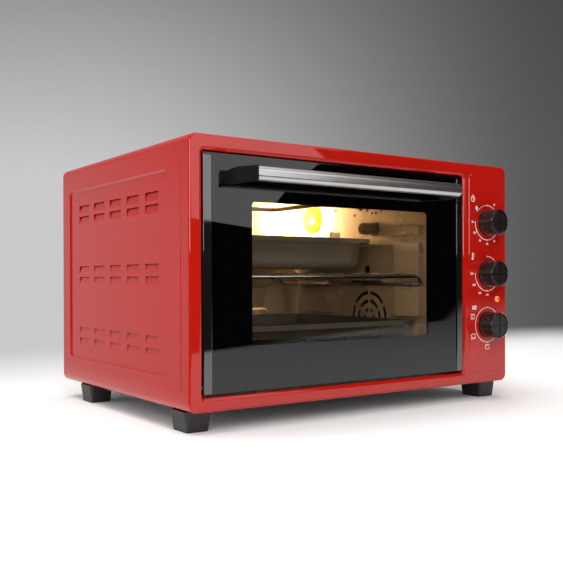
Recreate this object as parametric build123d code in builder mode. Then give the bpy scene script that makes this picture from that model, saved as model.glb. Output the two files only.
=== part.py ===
from build123d import *
from math import cos, radians, sqrt, tan
import os

os.makedirs("parts", exist_ok=True)

# Countertop mini oven, millimetres. +X is to the user's right, -Y towards the user, +Z up.
# The origin is on the table under the middle of the whole outline, handle and cable inlet included.

# Overall body
body_width = 520.0
body_depth = 392.0
body_height = 308.0
foot_height = 24.0
body_corner_radius = 10.0
rear_edge_radius = 8.0
sheet = 0.8
seam_width = 12.0

# Front frame
fascia_sheet = 1.2
fascia_depth = 8.0
fascia_edge_radius = 2.8
recess_left = 17.0
recess_sill = 16.5
recess_head = 18.2
control_width = 89.0
recess_radius = 3.0
rim_thickness = 2.6
rim_edge_radius = 4.2
flange_setback = 28.5

# Control panel
emboss_side = 5.0
emboss_inner = 11.0
emboss_sill = 15.5
emboss_head = 14.0
emboss_radius = 8.0
emboss_height = 0.6
knob_inset = 41.0
knob_top_level = 226.7
knob_pitch = 72.5
knob_count = 3
pilot_inset = 20.5
pilot_level = 118.0
pilot_radius = 4.4
shaft_hole_radius = 4.2

# Knobs and shafts
knob_gap = 1.4
knob_reach = 23.5
knob_skirt_radius = 18.7
knob_skirt_height = 3.0
knob_root_radius = 18.2
knob_face_radius = 17.7
knob_lip = 0.8
knob_rim_width = 0.6
knob_ring_width = 0.9
knob_ring_depth = 1.4
knob_groove_width = 1.8
knob_groove_depth = 2.0
knob_bore_depth = 14.0
shaft_radius = 3.0
shaft_flat = 2.2
shaft_fit = 0.05
shaft_seat_depth = 10.0
shaft_end_gap = 0.4

# Controls behind the panel
bracket_setback = 8.0
bracket_sheet = 1.2
bracket_width = 62.0
bracket_margin = 34.0
timer_size = 46.0
timer_depth = 32.0
thermostat_radius = 19.0
thermostat_depth = 20.0
selector_size = 42.0
selector_depth = 28.0

# Door
door_gap_side = 1.2
door_gap_sill = 3.1
door_gap_head = 1.2
door_front_setback = 2.0
door_back_setback = 26.0
glass_thickness = 4.0
glass_tuck = 6.5
rail_height = 3.6
rail_depth = 18.0
trim_width = 11.2
trim_front_setback = 0.8
trim_back_setback = 20.0
trim_edge_radius = 0.9
glass_fit = 0.05
hinge_setback = 6.5
hinge_rise = 7.6
window_side = 38.0
window_sill = 46.4
window_head = 46.7
window_radius = 8.0
inner_glass_lap = 10.0
pan_sill = 1.8
pan_sheet = 0.8
pan_edge_radius = 2.5
pan_sweep_radius = 5.0

# Hinge pins, stays and springs
pin_radius = 2.5
pin_fit = 0.05
pin_seat = 6.0
pin_outer_end = 2.6
hinge_plate = 2.0
hinge_plate_width = 22.0
hinge_plate_height = 34.0
rim_hole_gap = 0.8
stay_inset = 17.8
stay_thickness = 2.0
stay_radius = 46.0
stay_width = 8.0
stay_tail_angle = -29.6
stay_tab_height = 14.0
stay_tab_width = 7.5
stay_tab_thickness = 1.5
stay_slot_gap = 1.0
spring_radius = 4.0
spring_wire_radius = 0.55
spring_turns = 3.0
spring_pitch = 1.9

# Handle
handle_reach = 41.0
handle_level = 244.0
handle_height = 17.4
handle_depth = 12.5
handle_wall = 1.2
handle_plug = 9.0
bracket_foot_inset = 27.1
bracket_foot_width = 17.0
bracket_run = 19.0
bracket_slope_run = 18.5
bracket_slope_drop = 5.0
bracket_edge_radius = 1.6
handle_screw_radius = 2.0
handle_screw_reach = 10.0
screw_head_radius = 3.8
screw_head_height = 2.2
screw_gap = 0.2

# Cavity
cavity_side_margin = 29.8
cavity_floor_level = 35.0
cavity_head = 30.0
cavity_back_space = 43.0
flange_margin = 1.2
pad_height = 7.0
pad_taper = 14.0
rear_pad_slope = 17.0
pad_corner = 3.0
front_pad_start = 47.0
front_pad_end = 103.0
rear_pad_length = 72.0
rear_pad_back_gap = 28.0
pad_foot_level = 60.0
pad_top_level = 224.0
channel_height = 8.5
ledge_low = 83.5
ledge_middle = 137.5
ledge_high = 200.5
ledge_rib_height = 2.0
back_emboss_depth = 3.0
back_emboss_side = 61.0
back_emboss_radius = 9.0
back_emboss_spans = ((48.0, 100.0), (133.7, 254.0))
seal_width = 5.0
seal_lap = 2.0
seal_gap = 0.3

# Heating elements
heater_radius = 3.25
heater_bend = 16.0
heater_side = 82.0
heater_front = 76.0
heater_back = 49.0
upper_heater_drop = 19.5
lower_heater_rise = 16.0
upper_terminal = 138.0
lower_terminal_run = 2.0
terminal_pitch = 44.0
terminal_radius = 5.5
terminal_inside = 4.0
terminal_outside = 14.0
terminal_gap = 0.3
lug_radius = 1.6
lug_length = 9.0

# Lamp, probe and fan
lamp_back_gap = 46.0
lamp_level = 246.0
lamp_cover_radius = 22.0
lamp_cover_reach = 11.0
lamp_cover_wall = 2.0
lamp_hole_radius = 16.0
bulb_radius = 9.0
bulb_neck_radius = 5.5
holder_radius = 19.0
holder_wall = 4.0
holder_depth = 28.0
probe_setback = 150.0
probe_level = 223.0
probe_radius = 8.8
probe_length = 27.4
probe_flange_radius = 11.0
probe_flange_thickness = 1.5
fan_setback = 163.0
fan_level = 90.0
grille_radius = 39.0
grille_ring = 13.0
grille_slot = 5.2
grille_spoke = 5.0
fan_housing_radius = 50.0
fan_housing_depth = 24.0
fan_housing_lip = 7.0
impeller_radius = 37.0
impeller_gap = 3.0
impeller_depth = 14.0
impeller_sheet = 1.0
blade_count = 8
fan_shaft_radius = 2.5
fan_shaft_fit = 0.05
fan_shaft_seat = 14.0
motor_width = 52.0
motor_height = 46.0
motor_stack = 16.0
motor_boss_radius = 11.0
motor_boss_height = 5.0
spit_hole_radius = 6.0
spit_hole_setback = 167.0
spit_hole_level = 162.0
wall_slot_length = 73.0
wall_slot_height = 4.0
wall_slot_setback = 169.0
wall_slot_level = 143.0

# Shelves
rest_gap = 0.3
side_play = 4.0
rack_wire_radius = 2.5
rack_bar_radius = 1.4
rack_rise = 10.6
rack_front = 45.0
rack_back_gap = 13.0
rack_bar_margin = 6.0
rack_bar_pairs = 5
rack_front_slope_inset = 10.0
rack_rear_slope_inset = 44.0
rack_slope_run = 9.0
rack_bend = 5.0
rack_cross_low = 130.0
rack_cross_high = 255.0
rack_bar_sink = 0.3
tin_sheet = 1.0
tin_rim_height = 6.5
deep_tin_front = 127.0
deep_tin_back_gap = 9.0
deep_tin_depth = 44.0
deep_tin_corner = 46.0
deep_tin_rim = 10.0
deep_tin_taper = 9.0
deep_tin_base_radius = 11.0
flat_tin_front = 51.0
flat_tin_back_gap = 9.0
flat_tin_depth = 19.0
flat_tin_corner = 20.0
flat_tin_rim = 9.0
flat_tin_taper = 12.0
flat_tin_base_radius = 5.0

# Side panels
field_front = 52.5
field_back_margin = 33.0
field_low = 36.5
field_high = 273.5
field_depth = 2.0
field_taper = 45.0
field_radius = 7.0
louvre_columns = 5
louvre_first = 95.3
louvre_back_margin = 50.7
louvre_width = 35.7
louvre_levels = (251.0, 236.0, 166.0, 151.0, 81.0, 66.0)
louvre_height = 10.5
louvre_depth = 2.4
groove_setback = 18.4
groove_width = 1.5
groove_depth = 0.35
groove_end_margin = 24.0

# Rear, base, feet and inlet
rear_inset = 10.5
rear_screw_margin = 6.0
rear_screw_low = 60.0
rear_screw_pitch = 94.0
rear_screw_count = 3
casing_screw_radius = 1.75
casing_screw_length = 8.0
vent_length = 46.0
vent_width = 4.0
vent_pitch = 9.0
vent_rows = 6
vent_columns = 3
vent_column_pitch = 62.0
vent_level = 180.0
base_vent_columns = 7
base_vent_pitch = 22.0
foot_inset_side = 21.0
foot_front = 36.0
foot_rear_inset = 80.0
foot_length = 40.0
foot_width = 34.0
foot_taper = 8.0
foot_corner = 5.0
foot_bore_radius = 5.5
foot_bore_depth = 15.0
foot_screw_radius = 2.0
foot_screw_reach = 5.0
gland_inset = 55.0
gland_level = 42.0
gland_reach = 9.0
gland_radius = 9.0
gland_body_radius = 6.5
gland_bore_radius = 3.6
gland_flats = 19.0
gland_nut = 5.0
block_length = 40.0
block_height = 15.0
block_width = 18.0
block_inset = 78.0
block_back_gap = 62.0

# Places worked out from the sizes above
overall_depth = handle_reach + body_depth + gland_reach
front_y = handle_reach - overall_depth / 2
back_y = front_y + body_depth
left_x = -body_width / 2
right_x = body_width / 2
base_z = foot_height
top_z = base_z + body_height

recess_x0 = left_x + recess_left
recess_x1 = right_x - control_width
recess_z0 = base_z + recess_sill
recess_z1 = top_z - recess_head
flange_y0 = front_y + flange_setback
flange_y1 = flange_y0 + sheet

door_x0 = recess_x0 + door_gap_side
door_x1 = recess_x1 - door_gap_side
door_z0 = recess_z0 + door_gap_sill
door_z1 = recess_z1 - door_gap_head
door_xc = (door_x0 + door_x1) / 2
hinge_y = front_y + hinge_setback
hinge_z = door_z0 + hinge_rise
glass_y0 = front_y + door_front_setback
glass_y1 = glass_y0 + glass_thickness
pan_y1 = front_y + door_back_setback
rail_z0 = door_z1 - rail_height
window_x0 = door_x0 + window_side
window_x1 = door_x1 - window_side
window_z0 = door_z0 + window_sill
window_z1 = door_z1 - window_head

cavity_x0 = door_x0 + cavity_side_margin
cavity_x1 = door_x1 - cavity_side_margin
cavity_z0 = base_z + cavity_floor_level
cavity_z1 = top_z - cavity_head
cavity_y1 = back_y - cavity_back_space
rear_pad_end = cavity_y1 - front_y - rear_pad_back_gap
rear_pad_start = rear_pad_end - rear_pad_length

knob_x = right_x - knob_inset
knob_levels = [base_z + knob_top_level - knob_pitch * i for i in range(knob_count)]
handle_z = door_z0 + handle_level
handle_y = front_y - handle_reach + handle_depth / 2
mirror_plane = Plane.YZ.offset(door_xc)


# Working planes and small helpers


def front_plane(y):
    return Plane.XZ.offset(-y)


def side_plane(x):
    return Plane.YZ.offset(x)


def level_plane(z):
    return Plane.XY.offset(z)


def block(x0, x1, y0, y1, z0, z1, mode=Mode.ADD):
    with Locations(((x0 + x1) / 2, (y0 + y1) / 2, (z0 + z1) / 2)):
        Box(x1 - x0, y1 - y0, z1 - z0, mode=mode)


def rounded(a0, a1, b0, b1, radius, mode=Mode.ADD):
    with Locations(((a0 + a1) / 2, (b0 + b1) / 2)):
        RectangleRounded(a1 - a0, b1 - b0, radius, mode=mode)


def rod_x(x0, x1, y, z, radius, mode=Mode.ADD):
    with BuildSketch(side_plane(x0)) as end:
        with Locations((y, z)):
            Circle(radius)
    extrude(end.sketch, amount=x1 - x0, mode=mode)


def rod_y(y0, y1, x, z, radius, mode=Mode.ADD):
    with BuildSketch(front_plane(y0)) as end:
        with Locations((x, z)):
            Circle(radius)
    extrude(end.sketch, amount=y0 - y1, mode=mode)


def rod_z(z0, z1, x, y, radius, mode=Mode.ADD):
    with BuildSketch(level_plane(z0)) as end:
        with Locations((x, y)):
            Circle(radius)
    extrude(end.sketch, amount=z1 - z0, mode=mode)


# Casing: one rounded sheet box, cut into the panels that it is folded from


def casing_skin():
    with BuildPart() as skin:
        block(left_x, right_x, front_y + fascia_depth, back_y, base_z, top_z)
        fillet(skin.edges().filter_by(Axis.Y), body_corner_radius)
        rear_radius = min(rear_edge_radius, body_corner_radius - sheet)
        fillet(skin.faces().sort_by(Axis.Y)[-1].edges(), rear_radius)
        offset(amount=-sheet, openings=skin.faces().sort_by(Axis.Y)[0])
    return skin.part


skin = casing_skin()
rear_screw_levels = [base_z + rear_screw_low + rear_screw_pitch * i for i in range(rear_screw_count)]
rear_screw_left = left_x + rear_inset
top_screw_spread = body_width / 2 - 3 * seam_width


def rear_screw_places():
    side = body_width / 2 - rear_screw_margin - rear_inset / 2
    places = [(s * side, z) for s in (-1, 1) for z in rear_screw_levels]
    top = top_z - rear_screw_margin - rear_inset / 2
    return places + [(-top_screw_spread / 2, top), (top_screw_spread / 2, top)]


def rear_screw_holes(radius):
    with BuildSketch(front_plane(back_y)) as holes:
        with Locations(*rear_screw_places()):
            Circle(radius)
    extrude(holes.sketch, amount=3 * sheet, mode=Mode.SUBTRACT)


rear_flange = rear_screw_margin + rear_inset
field_back = body_depth - field_back_margin
louvre_span = field_back - louvre_back_margin - louvre_first
louvre_pitch = louvre_span / (louvre_columns - 1)
louvre_starts = [front_y + louvre_first - louvre_width / 2 + louvre_pitch * i for i in range(louvre_columns)]


def louvre_profile(y, hood, extra):
    outer = left_x + field_depth
    with BuildSketch(front_plane(y)) as profile:
        for top in louvre_levels:
            z1 = base_z + top
            z0 = z1 - louvre_height
            if hood:
                Polygon(
                    (outer + sheet / 2, z0 - sheet),
                    (outer + louvre_depth + sheet, z1),
                    (outer + sheet / 2, z1),
                    align=None,
                )
            else:
                Polygon(
                    (outer - sheet, z0),
                    (outer, z0),
                    (outer + louvre_depth, z1),
                    (outer - sheet, z1),
                    align=None,
                )
    mode = Mode.ADD if hood else Mode.SUBTRACT
    extrude(profile.sketch, amount=-(louvre_width + extra), mode=mode)


with BuildPart() as left_side_panel:
    add(skin)
    block(left_x, left_x + seam_width, front_y, back_y, base_z, top_z, mode=Mode.INTERSECT)
    # rear flange that the back plate is screwed to
    block(
        left_x + seam_width, left_x + rear_flange + rear_screw_margin,
        back_y - sheet, back_y,
        base_z + rear_flange, top_z - rear_flange - rear_screw_margin,
    )
    # recessed field, pressed in with sloped walls
    with BuildSketch(side_plane(left_x + sheet)):
        rounded(
            front_y + field_front - sheet, front_y + field_back + sheet,
            base_z + field_low - sheet, base_z + field_high + sheet, field_radius + sheet,
        )
    extrude(amount=field_depth, taper=field_taper)
    with BuildSketch(side_plane(left_x)):
        rounded(
            front_y + field_front, front_y + field_back,
            base_z + field_low, base_z + field_high, field_radius,
        )
    extrude(amount=field_depth, taper=field_taper, mode=Mode.SUBTRACT)
    # fine upright groove near the front edge
    groove_y = front_y + groove_setback
    with BuildSketch(side_plane(left_x)):
        rounded(
            groove_y, groove_y + groove_width,
            base_z + groove_end_margin, top_z - groove_end_margin, groove_width / 3,
        )
    extrude(amount=groove_depth, mode=Mode.SUBTRACT)
    # louvres: hoods pressed inwards, open along the top
    for start in louvre_starts:
        louvre_profile(start - sheet, True, 2 * sheet)
    for start in louvre_starts:
        louvre_profile(start, False, 0)
    rear_screw_holes(casing_screw_radius + screw_gap)
left_side_panel.part.label = "left_side_panel"
export_step(left_side_panel.part, "parts/left_side_panel.step")

with BuildPart() as right_side_panel:
    mirror(left_side_panel.part, about=Plane.YZ)
right_side_panel.part.label = "right_side_panel"
export_step(right_side_panel.part, "parts/right_side_panel.step")

with BuildPart() as top_panel:
    add(skin)
    block(
        left_x + seam_width, right_x - seam_width, front_y, back_y,
        top_z - seam_width, top_z, mode=Mode.INTERSECT,
    )
    block(
        left_x + rear_flange + rear_screw_margin, right_x - rear_flange - rear_screw_margin,
        back_y - sheet, back_y, top_z - rear_flange, top_z - seam_width,
    )
    rear_screw_holes(casing_screw_radius + screw_gap)
top_panel.part.label = "top_panel"
export_step(top_panel.part, "parts/top_panel.step")


def foot_places():
    x_left = left_x + foot_inset_side
    x_right = right_x - foot_inset_side
    return {
        "foot_front_left": (x_left, front_y + foot_front),
        "foot_front_right": (x_right, front_y + foot_front),
        "foot_rear_left": (x_left, back_y - foot_rear_inset),
        "foot_rear_right": (x_right, back_y - foot_rear_inset),
    }


with BuildPart() as base_panel:
    add(skin)
    block(
        left_x + seam_width, right_x - seam_width, front_y, back_y,
        base_z, base_z + seam_width, mode=Mode.INTERSECT,
    )
    with BuildSketch(level_plane(base_z)):
        with Locations(*foot_places().values()):
            Circle(foot_screw_radius + screw_gap)
        with Locations((door_xc, front_y + body_depth / 2)):
            with GridLocations(base_vent_pitch, body_depth / 2, base_vent_columns, 2):
                SlotOverall(vent_length, vent_width, rotation=90)
    extrude(amount=sheet, mode=Mode.SUBTRACT)
base_panel.part.label = "base_panel"
export_step(base_panel.part, "parts/base_panel.step")

gland_x = right_x - gland_inset
gland_z = base_z + gland_level

with BuildPart() as rear_panel:
    rear_y1 = back_y - sheet
    block(
        left_x + rear_inset, right_x - rear_inset, rear_y1 - sheet, rear_y1,
        base_z + rear_inset, top_z - rear_inset,
    )
    rear_screw_holes(casing_screw_radius + screw_gap)
    with BuildSketch(front_plane(rear_y1)):
        with Locations((gland_x, gland_z)):
            Circle(gland_body_radius + screw_gap)
        with Locations((door_xc, base_z + vent_level)):
            with GridLocations(vent_column_pitch, vent_pitch, vent_columns, vent_rows):
                SlotOverall(vent_length, vent_width)
    extrude(amount=sheet, mode=Mode.SUBTRACT)
rear_panel.part.label = "rear_panel"
export_step(rear_panel.part, "parts/rear_panel.step")

# Front frame: pressed face, skirt round the edge, door recess with a deep rim


def recess_outline(margin, mode=Mode.ADD):
    rounded(
        recess_x0 - margin, recess_x1 + margin, recess_z0 - margin, recess_z1 + margin,
        recess_radius + margin, mode=mode,
    )


emboss_x0 = recess_x1 + emboss_inner
emboss_x1 = right_x - emboss_side
emboss_z0 = base_z + emboss_sill
emboss_z1 = top_z - emboss_head
pilot_x = right_x - pilot_inset
pilot_z = base_z + pilot_level

with BuildPart() as front_frame:
    with BuildSketch(front_plane(front_y)):
        rounded(left_x, right_x, base_z, top_z, body_corner_radius)
    extrude(amount=-fascia_depth)
    fillet(front_frame.faces().sort_by(Axis.Y)[0].outer_wire().edges(), fascia_edge_radius)
    with BuildSketch(front_plane(front_y + fascia_sheet)):
        rounded(
            left_x + fascia_sheet, right_x - fascia_sheet,
            base_z + fascia_sheet, top_z - fascia_sheet, body_corner_radius - fascia_sheet,
        )
    extrude(amount=-fascia_depth, mode=Mode.SUBTRACT)
    # fascia edge is thicker than its radius where the face turns into the skirt
    with BuildSketch(front_plane(front_y + fascia_sheet)):
        rounded(
            left_x + fascia_sheet, right_x - fascia_sheet,
            base_z + fascia_sheet, top_z - fascia_sheet, body_corner_radius - fascia_sheet,
        )
        rounded(
            left_x + fascia_edge_radius, right_x - fascia_edge_radius,
            base_z + fascia_edge_radius, top_z - fascia_edge_radius,
            body_corner_radius - fascia_edge_radius, mode=Mode.SUBTRACT,
        )
    extrude(amount=-(fascia_edge_radius - fascia_sheet))
    with BuildSketch(front_plane(front_y + fascia_sheet)):
        recess_outline(rim_thickness)
    extrude(amount=-(flange_setback - fascia_sheet))
    with BuildSketch(front_plane(front_y)):
        recess_outline(0)
    extrude(amount=-flange_setback, mode=Mode.SUBTRACT)
    recess_edges = front_frame.faces().filter_by(Axis.Y).sort_by(Axis.Y)[0].inner_wires().edges()
    fillet(recess_edges, rim_edge_radius)
    # shallow raised field of the control panel, with sloped walls
    root = emboss_height / 2
    with BuildSketch(front_plane(front_y + root)) as field:
        rounded(
            emboss_x0 - root, emboss_x1 + root, emboss_z0 - root, emboss_z1 + root,
            emboss_radius + root,
        )
    extrude(field.sketch, amount=emboss_height + root, taper=field_taper)
    with BuildSketch(front_plane(front_y + fascia_sheet)) as back_of_field:
        rounded(emboss_x0, emboss_x1, emboss_z0, emboss_z1, emboss_radius)
    extrude(back_of_field.sketch, amount=emboss_height, taper=field_taper, mode=Mode.SUBTRACT)
    with BuildSketch(front_plane(front_y - emboss_height)):
        with Locations(*[(knob_x, z) for z in knob_levels]):
            Circle(shaft_hole_radius)
        with Locations((pilot_x, pilot_z)):
            Circle(pilot_radius + screw_gap)
    extrude(amount=-(fascia_sheet + emboss_height), mode=Mode.SUBTRACT)
    for x in (recess_x0 - rim_thickness, recess_x1):
        rod_x(x, x + rim_thickness, hinge_y, hinge_z, pin_radius + rim_hole_gap, mode=Mode.SUBTRACT)
front_frame.part.label = "front_frame"
export_step(front_frame.part, "parts/front_frame.step")

# Cavity: front flange, two pressed side walls, ceiling, floor and back

stay_x0 = door_x0 + stay_inset
stay_inner = stay_radius - stay_width / 2
stay_outer = stay_radius + stay_width / 2
flange_front = flange_y0 - hinge_y
flange_rear = flange_y1 - hinge_y
slot_z0 = hinge_z + sqrt(stay_inner**2 - flange_rear**2) - stay_slot_gap
slot_z1 = hinge_z + sqrt(stay_outer**2 - flange_front**2) + stay_slot_gap

with BuildPart() as cavity_flange:
    block(
        recess_x0 - flange_margin, recess_x1 + flange_margin, flange_y0, flange_y1,
        recess_z0 - flange_margin, recess_z1 + flange_margin,
    )
    block(cavity_x0, cavity_x1, flange_y0, flange_y1, cavity_z0, cavity_z1, mode=Mode.SUBTRACT)
    slot_x0 = stay_x0 - stay_slot_gap
    slot_x1 = stay_x0 + stay_thickness + stay_slot_gap
    block(slot_x0, slot_x1, flange_y0, flange_y1, slot_z0, slot_z1, mode=Mode.SUBTRACT)
    block(
        2 * door_xc - slot_x1, 2 * door_xc - slot_x0, flange_y0, flange_y1,
        slot_z0, slot_z1, mode=Mode.SUBTRACT,
    )
cavity_flange.part.label = "cavity_flange"
export_step(cavity_flange.part, "parts/cavity_flange.step")

# the guides slope, so each shelf meets its ledge a little way in from the wall
rest_slope = radians(pad_taper)
rest_drop = side_play * tan(rest_slope)
rib_top = base_z + ledge_high - pad_height * tan(rest_slope)
ledges = (ledge_low, ledge_middle, ledge_high)
pad_spans = []
span_start = pad_foot_level
for ledge in ledges:
    pad_spans.append((span_start, ledge))
    span_start = ledge + channel_height
pad_spans.append((span_start, pad_top_level))
pad_strips = ((front_pad_start, front_pad_end), (rear_pad_start, rear_pad_end))


def pad_outlines(margin):
    for y0, y1 in pad_strips:
        for z0, z1 in pad_spans:
            rounded(
                front_y + y0 + margin, front_y + y1 - margin,
                base_z + z0 + margin, base_z + z1 - margin, pad_corner,
            )


with BuildPart() as cavity_left_wall:
    block(cavity_x0 - sheet, cavity_x0, flange_y1, cavity_y1, cavity_z0, cavity_z1)
    with BuildSketch(side_plane(cavity_x0)):
        pad_outlines(0)
    extrude(amount=pad_height, taper=pad_taper)
    with BuildSketch(side_plane(cavity_x0 - sheet)):
        pad_outlines(sheet)
    extrude(amount=pad_height, taper=pad_taper, mode=Mode.SUBTRACT)
    # long slope that leads a shelf onto the rear pads
    for z0, z1 in pad_spans:
        slope_y = front_y + rear_pad_start
        with BuildSketch(level_plane(base_z + z0 + pad_height * tan(rest_slope))):
            Polygon(
                (cavity_x0, slope_y - rear_pad_slope),
                (cavity_x0 + pad_height, slope_y + pad_corner),
                (cavity_x0 + pad_height - sheet, slope_y + pad_corner),
                (cavity_x0, slope_y - rear_pad_slope + 3 * sheet),
                align=None,
            )
        extrude(amount=z1 - z0 - 2 * pad_height * tan(rest_slope))
    # folded rib that carries the upper tin between the pads
    block(
        cavity_x0, cavity_x0 + pad_height - sheet,
        front_y + front_pad_end - pad_corner, front_y + rear_pad_start + pad_corner,
        rib_top - ledge_rib_height, rib_top,
    )
cavity_left_wall.part.label = "cavity_left_wall"
export_step(cavity_left_wall.part, "parts/cavity_left_wall.step")

lamp_y = cavity_y1 - lamp_back_gap
lamp_z = base_z + lamp_level
probe_y = front_y + probe_setback
probe_z = base_z + probe_level
fan_y = front_y + fan_setback
fan_z = base_z + fan_level
upper_heater_z = cavity_z1 - upper_heater_drop
lower_heater_z = cavity_z0 + lower_heater_rise
heater_back_y = cavity_y1 - heater_back
upper_terminal_y = front_y + upper_terminal
lower_terminal_y = heater_back_y - 2 * heater_bend - lower_terminal_run - terminal_pitch
terminal_places = [
    (start + terminal_pitch * i, z)
    for z, start in ((upper_heater_z, upper_terminal_y), (lower_heater_z, lower_terminal_y))
    for i in range(2)
]

with BuildPart() as cavity_right_wall:
    mirror(cavity_left_wall.part, about=mirror_plane)
    with BuildSketch(side_plane(cavity_x1)):
        with Locations((lamp_y, lamp_z)):
            Circle(lamp_hole_radius)
        with Locations((probe_y, probe_z)):
            Circle(probe_radius / 2)
        with Locations((front_y + spit_hole_setback, base_z + spit_hole_level)):
            Circle(spit_hole_radius)
        with Locations((front_y + wall_slot_setback, base_z + wall_slot_level)):
            SlotOverall(wall_slot_length, wall_slot_height)
        with Locations(*terminal_places):
            Circle(terminal_radius + terminal_gap)
    extrude(amount=sheet, mode=Mode.SUBTRACT)
    # fan grille: concentric slots broken by an upright and two slanting spokes
    with BuildSketch(side_plane(cavity_x1)) as grille:
        with Locations((fan_y, fan_z)):
            for ring in range(3):
                Circle(grille_radius - ring * grille_ring)
                Circle(grille_radius - ring * grille_ring - grille_slot, mode=Mode.SUBTRACT)
            for turn in (0, 60, 120):
                Rectangle(2 * grille_radius, grille_spoke, rotation=90 + turn, mode=Mode.SUBTRACT)
    extrude(amount=sheet, mode=Mode.SUBTRACT)
cavity_right_wall.part.label = "cavity_right_wall"
export_step(cavity_right_wall.part, "parts/cavity_right_wall.step")

with BuildPart() as cavity_ceiling:
    block(
        cavity_x0 - sheet, cavity_x1 + sheet, flange_y1, cavity_y1,
        cavity_z1, cavity_z1 + sheet,
    )
cavity_ceiling.part.label = "cavity_ceiling"
export_step(cavity_ceiling.part, "parts/cavity_ceiling.step")

with BuildPart() as cavity_floor:
    block(
        cavity_x0 - sheet, cavity_x1 + sheet, flange_y1, cavity_y1,
        cavity_z0 - sheet, cavity_z0,
    )
cavity_floor.part.label = "cavity_floor"
export_step(cavity_floor.part, "parts/cavity_floor.step")


def back_embosses(margin):
    for z0, z1 in back_emboss_spans:
        rounded(
            cavity_x0 + back_emboss_side + margin, cavity_x1 - back_emboss_side - margin,
            base_z + z0 + margin, base_z + z1 - margin, back_emboss_radius,
        )


with BuildPart() as cavity_back_wall:
    block(
        cavity_x0 - sheet, cavity_x1 + sheet, cavity_y1, cavity_y1 + sheet,
        cavity_z0 - sheet, cavity_z1 + sheet,
    )
    with BuildSketch(front_plane(cavity_y1)):
        back_embosses(0)
    extrude(amount=back_emboss_depth, taper=field_taper)
    with BuildSketch(front_plane(cavity_y1 + sheet)):
        back_embosses(sheet)
    extrude(amount=back_emboss_depth, taper=field_taper, mode=Mode.SUBTRACT)
cavity_back_wall.part.label = "cavity_back_wall"
export_step(cavity_back_wall.part, "parts/cavity_back_wall.step")

with BuildPart() as door_seal:
    seal_margin = seal_lap + seal_width
    with BuildSketch(front_plane(pan_y1 + seal_gap)):
        rounded(
            cavity_x0 - seal_margin, cavity_x1 + seal_margin,
            cavity_z0 - seal_margin, cavity_z1 + seal_margin, seal_margin,
        )
        rounded(
            cavity_x0 - seal_lap, cavity_x1 + seal_lap,
            cavity_z0 - seal_lap, cavity_z1 + seal_lap, seal_lap, mode=Mode.SUBTRACT,
        )
    extrude(amount=-(flange_y0 - pan_y1 - seal_gap))
door_seal.part.label = "door_seal"
export_step(door_seal.part, "parts/door_seal.step")

# Heating elements: one bent tube each, with both ends through the right wall


def heater(z, ya):
    side_x0 = cavity_x0 + heater_side
    side_x1 = cavity_x1 - heater_side
    y0 = front_y + heater_front
    y1 = heater_back_y
    end_x = cavity_x1 - terminal_inside
    yb = ya + terminal_pitch
    with BuildPart() as element:
        with BuildLine(level_plane(z)) as path:
            FilletPolyline(
                (end_x, yb), (side_x1, yb), (side_x1, y1), (side_x0, y1),
                (side_x0, y0), (side_x1, y0), (side_x1, ya), (end_x, ya),
                radius=heater_bend,
            )
        with BuildSketch(Plane(origin=path.line @ 0, z_dir=path.line % 0)):
            Circle(heater_radius)
        sweep(path=path.line)
        for y in (ya, yb):
            rod_x(end_x, cavity_x1 + terminal_outside, y, z, terminal_radius)
            rod_x(
                cavity_x1 + terminal_outside, cavity_x1 + terminal_outside + lug_length,
                y, z, lug_radius,
            )
    return element


upper_heater = heater(upper_heater_z, upper_terminal_y)
upper_heater.part.label = "upper_heater"
export_step(upper_heater.part, "parts/upper_heater.step")

lower_heater = heater(lower_heater_z, lower_terminal_y)
lower_heater.part.label = "lower_heater"
export_step(lower_heater.part, "parts/lower_heater.step")

# Lamp: glass cover inside the cavity, bulb and holder through the wall


def turned_x(y, z, outline):
    with BuildSketch(Plane(origin=(0, y, z), x_dir=(1, 0, 0), z_dir=(0, -1, 0))) as section:
        Polygon(*outline, align=None)
    revolve(section.sketch, axis=Axis((0, y, z), (1, 0, 0)))


cover_x0 = cavity_x1 - lamp_cover_reach
crown = lamp_cover_reach / 2

with BuildPart() as lamp_cover:
    turned_x(lamp_y, lamp_z, (
        (cavity_x1, lamp_cover_radius),
        (cover_x0 + crown, lamp_cover_radius - lamp_cover_wall / 2),
        (cover_x0 + crown / 3, lamp_cover_radius - crown),
        (cover_x0, lamp_cover_radius / 2),
        (cover_x0, 0),
        (cover_x0 + lamp_cover_wall, 0),
        (cover_x0 + lamp_cover_wall, lamp_cover_radius / 2),
        (cover_x0 + crown / 3 + lamp_cover_wall, lamp_cover_radius - crown - lamp_cover_wall),
        (cavity_x1, lamp_cover_radius - lamp_cover_wall),
    ))
lamp_cover.part.label = "lamp_cover"
export_step(lamp_cover.part, "parts/lamp_cover.step")

holder_x0 = cavity_x1 + sheet
holder_x1 = holder_x0 + holder_depth
bulb_x = cover_x0 + 2 * lamp_cover_wall + bulb_radius

with BuildPart() as lamp_bulb:
    rod_x(bulb_x, holder_x1 - holder_wall, lamp_y, lamp_z, bulb_neck_radius)
    with Locations((bulb_x, lamp_y, lamp_z)):
        Sphere(bulb_radius, rotation=(0, 90, 0))
lamp_bulb.part.label = "lamp_bulb"
export_step(lamp_bulb.part, "parts/lamp_bulb.step")

with BuildPart() as lamp_holder:
    rod_x(holder_x0, holder_x1, lamp_y, lamp_z, holder_radius)
    rod_x(
        holder_x0, holder_x1 - holder_wall, lamp_y, lamp_z,
        holder_radius - holder_wall, mode=Mode.SUBTRACT,
    )
lamp_holder.part.label = "lamp_holder"
export_step(lamp_holder.part, "parts/lamp_holder.step")

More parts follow.
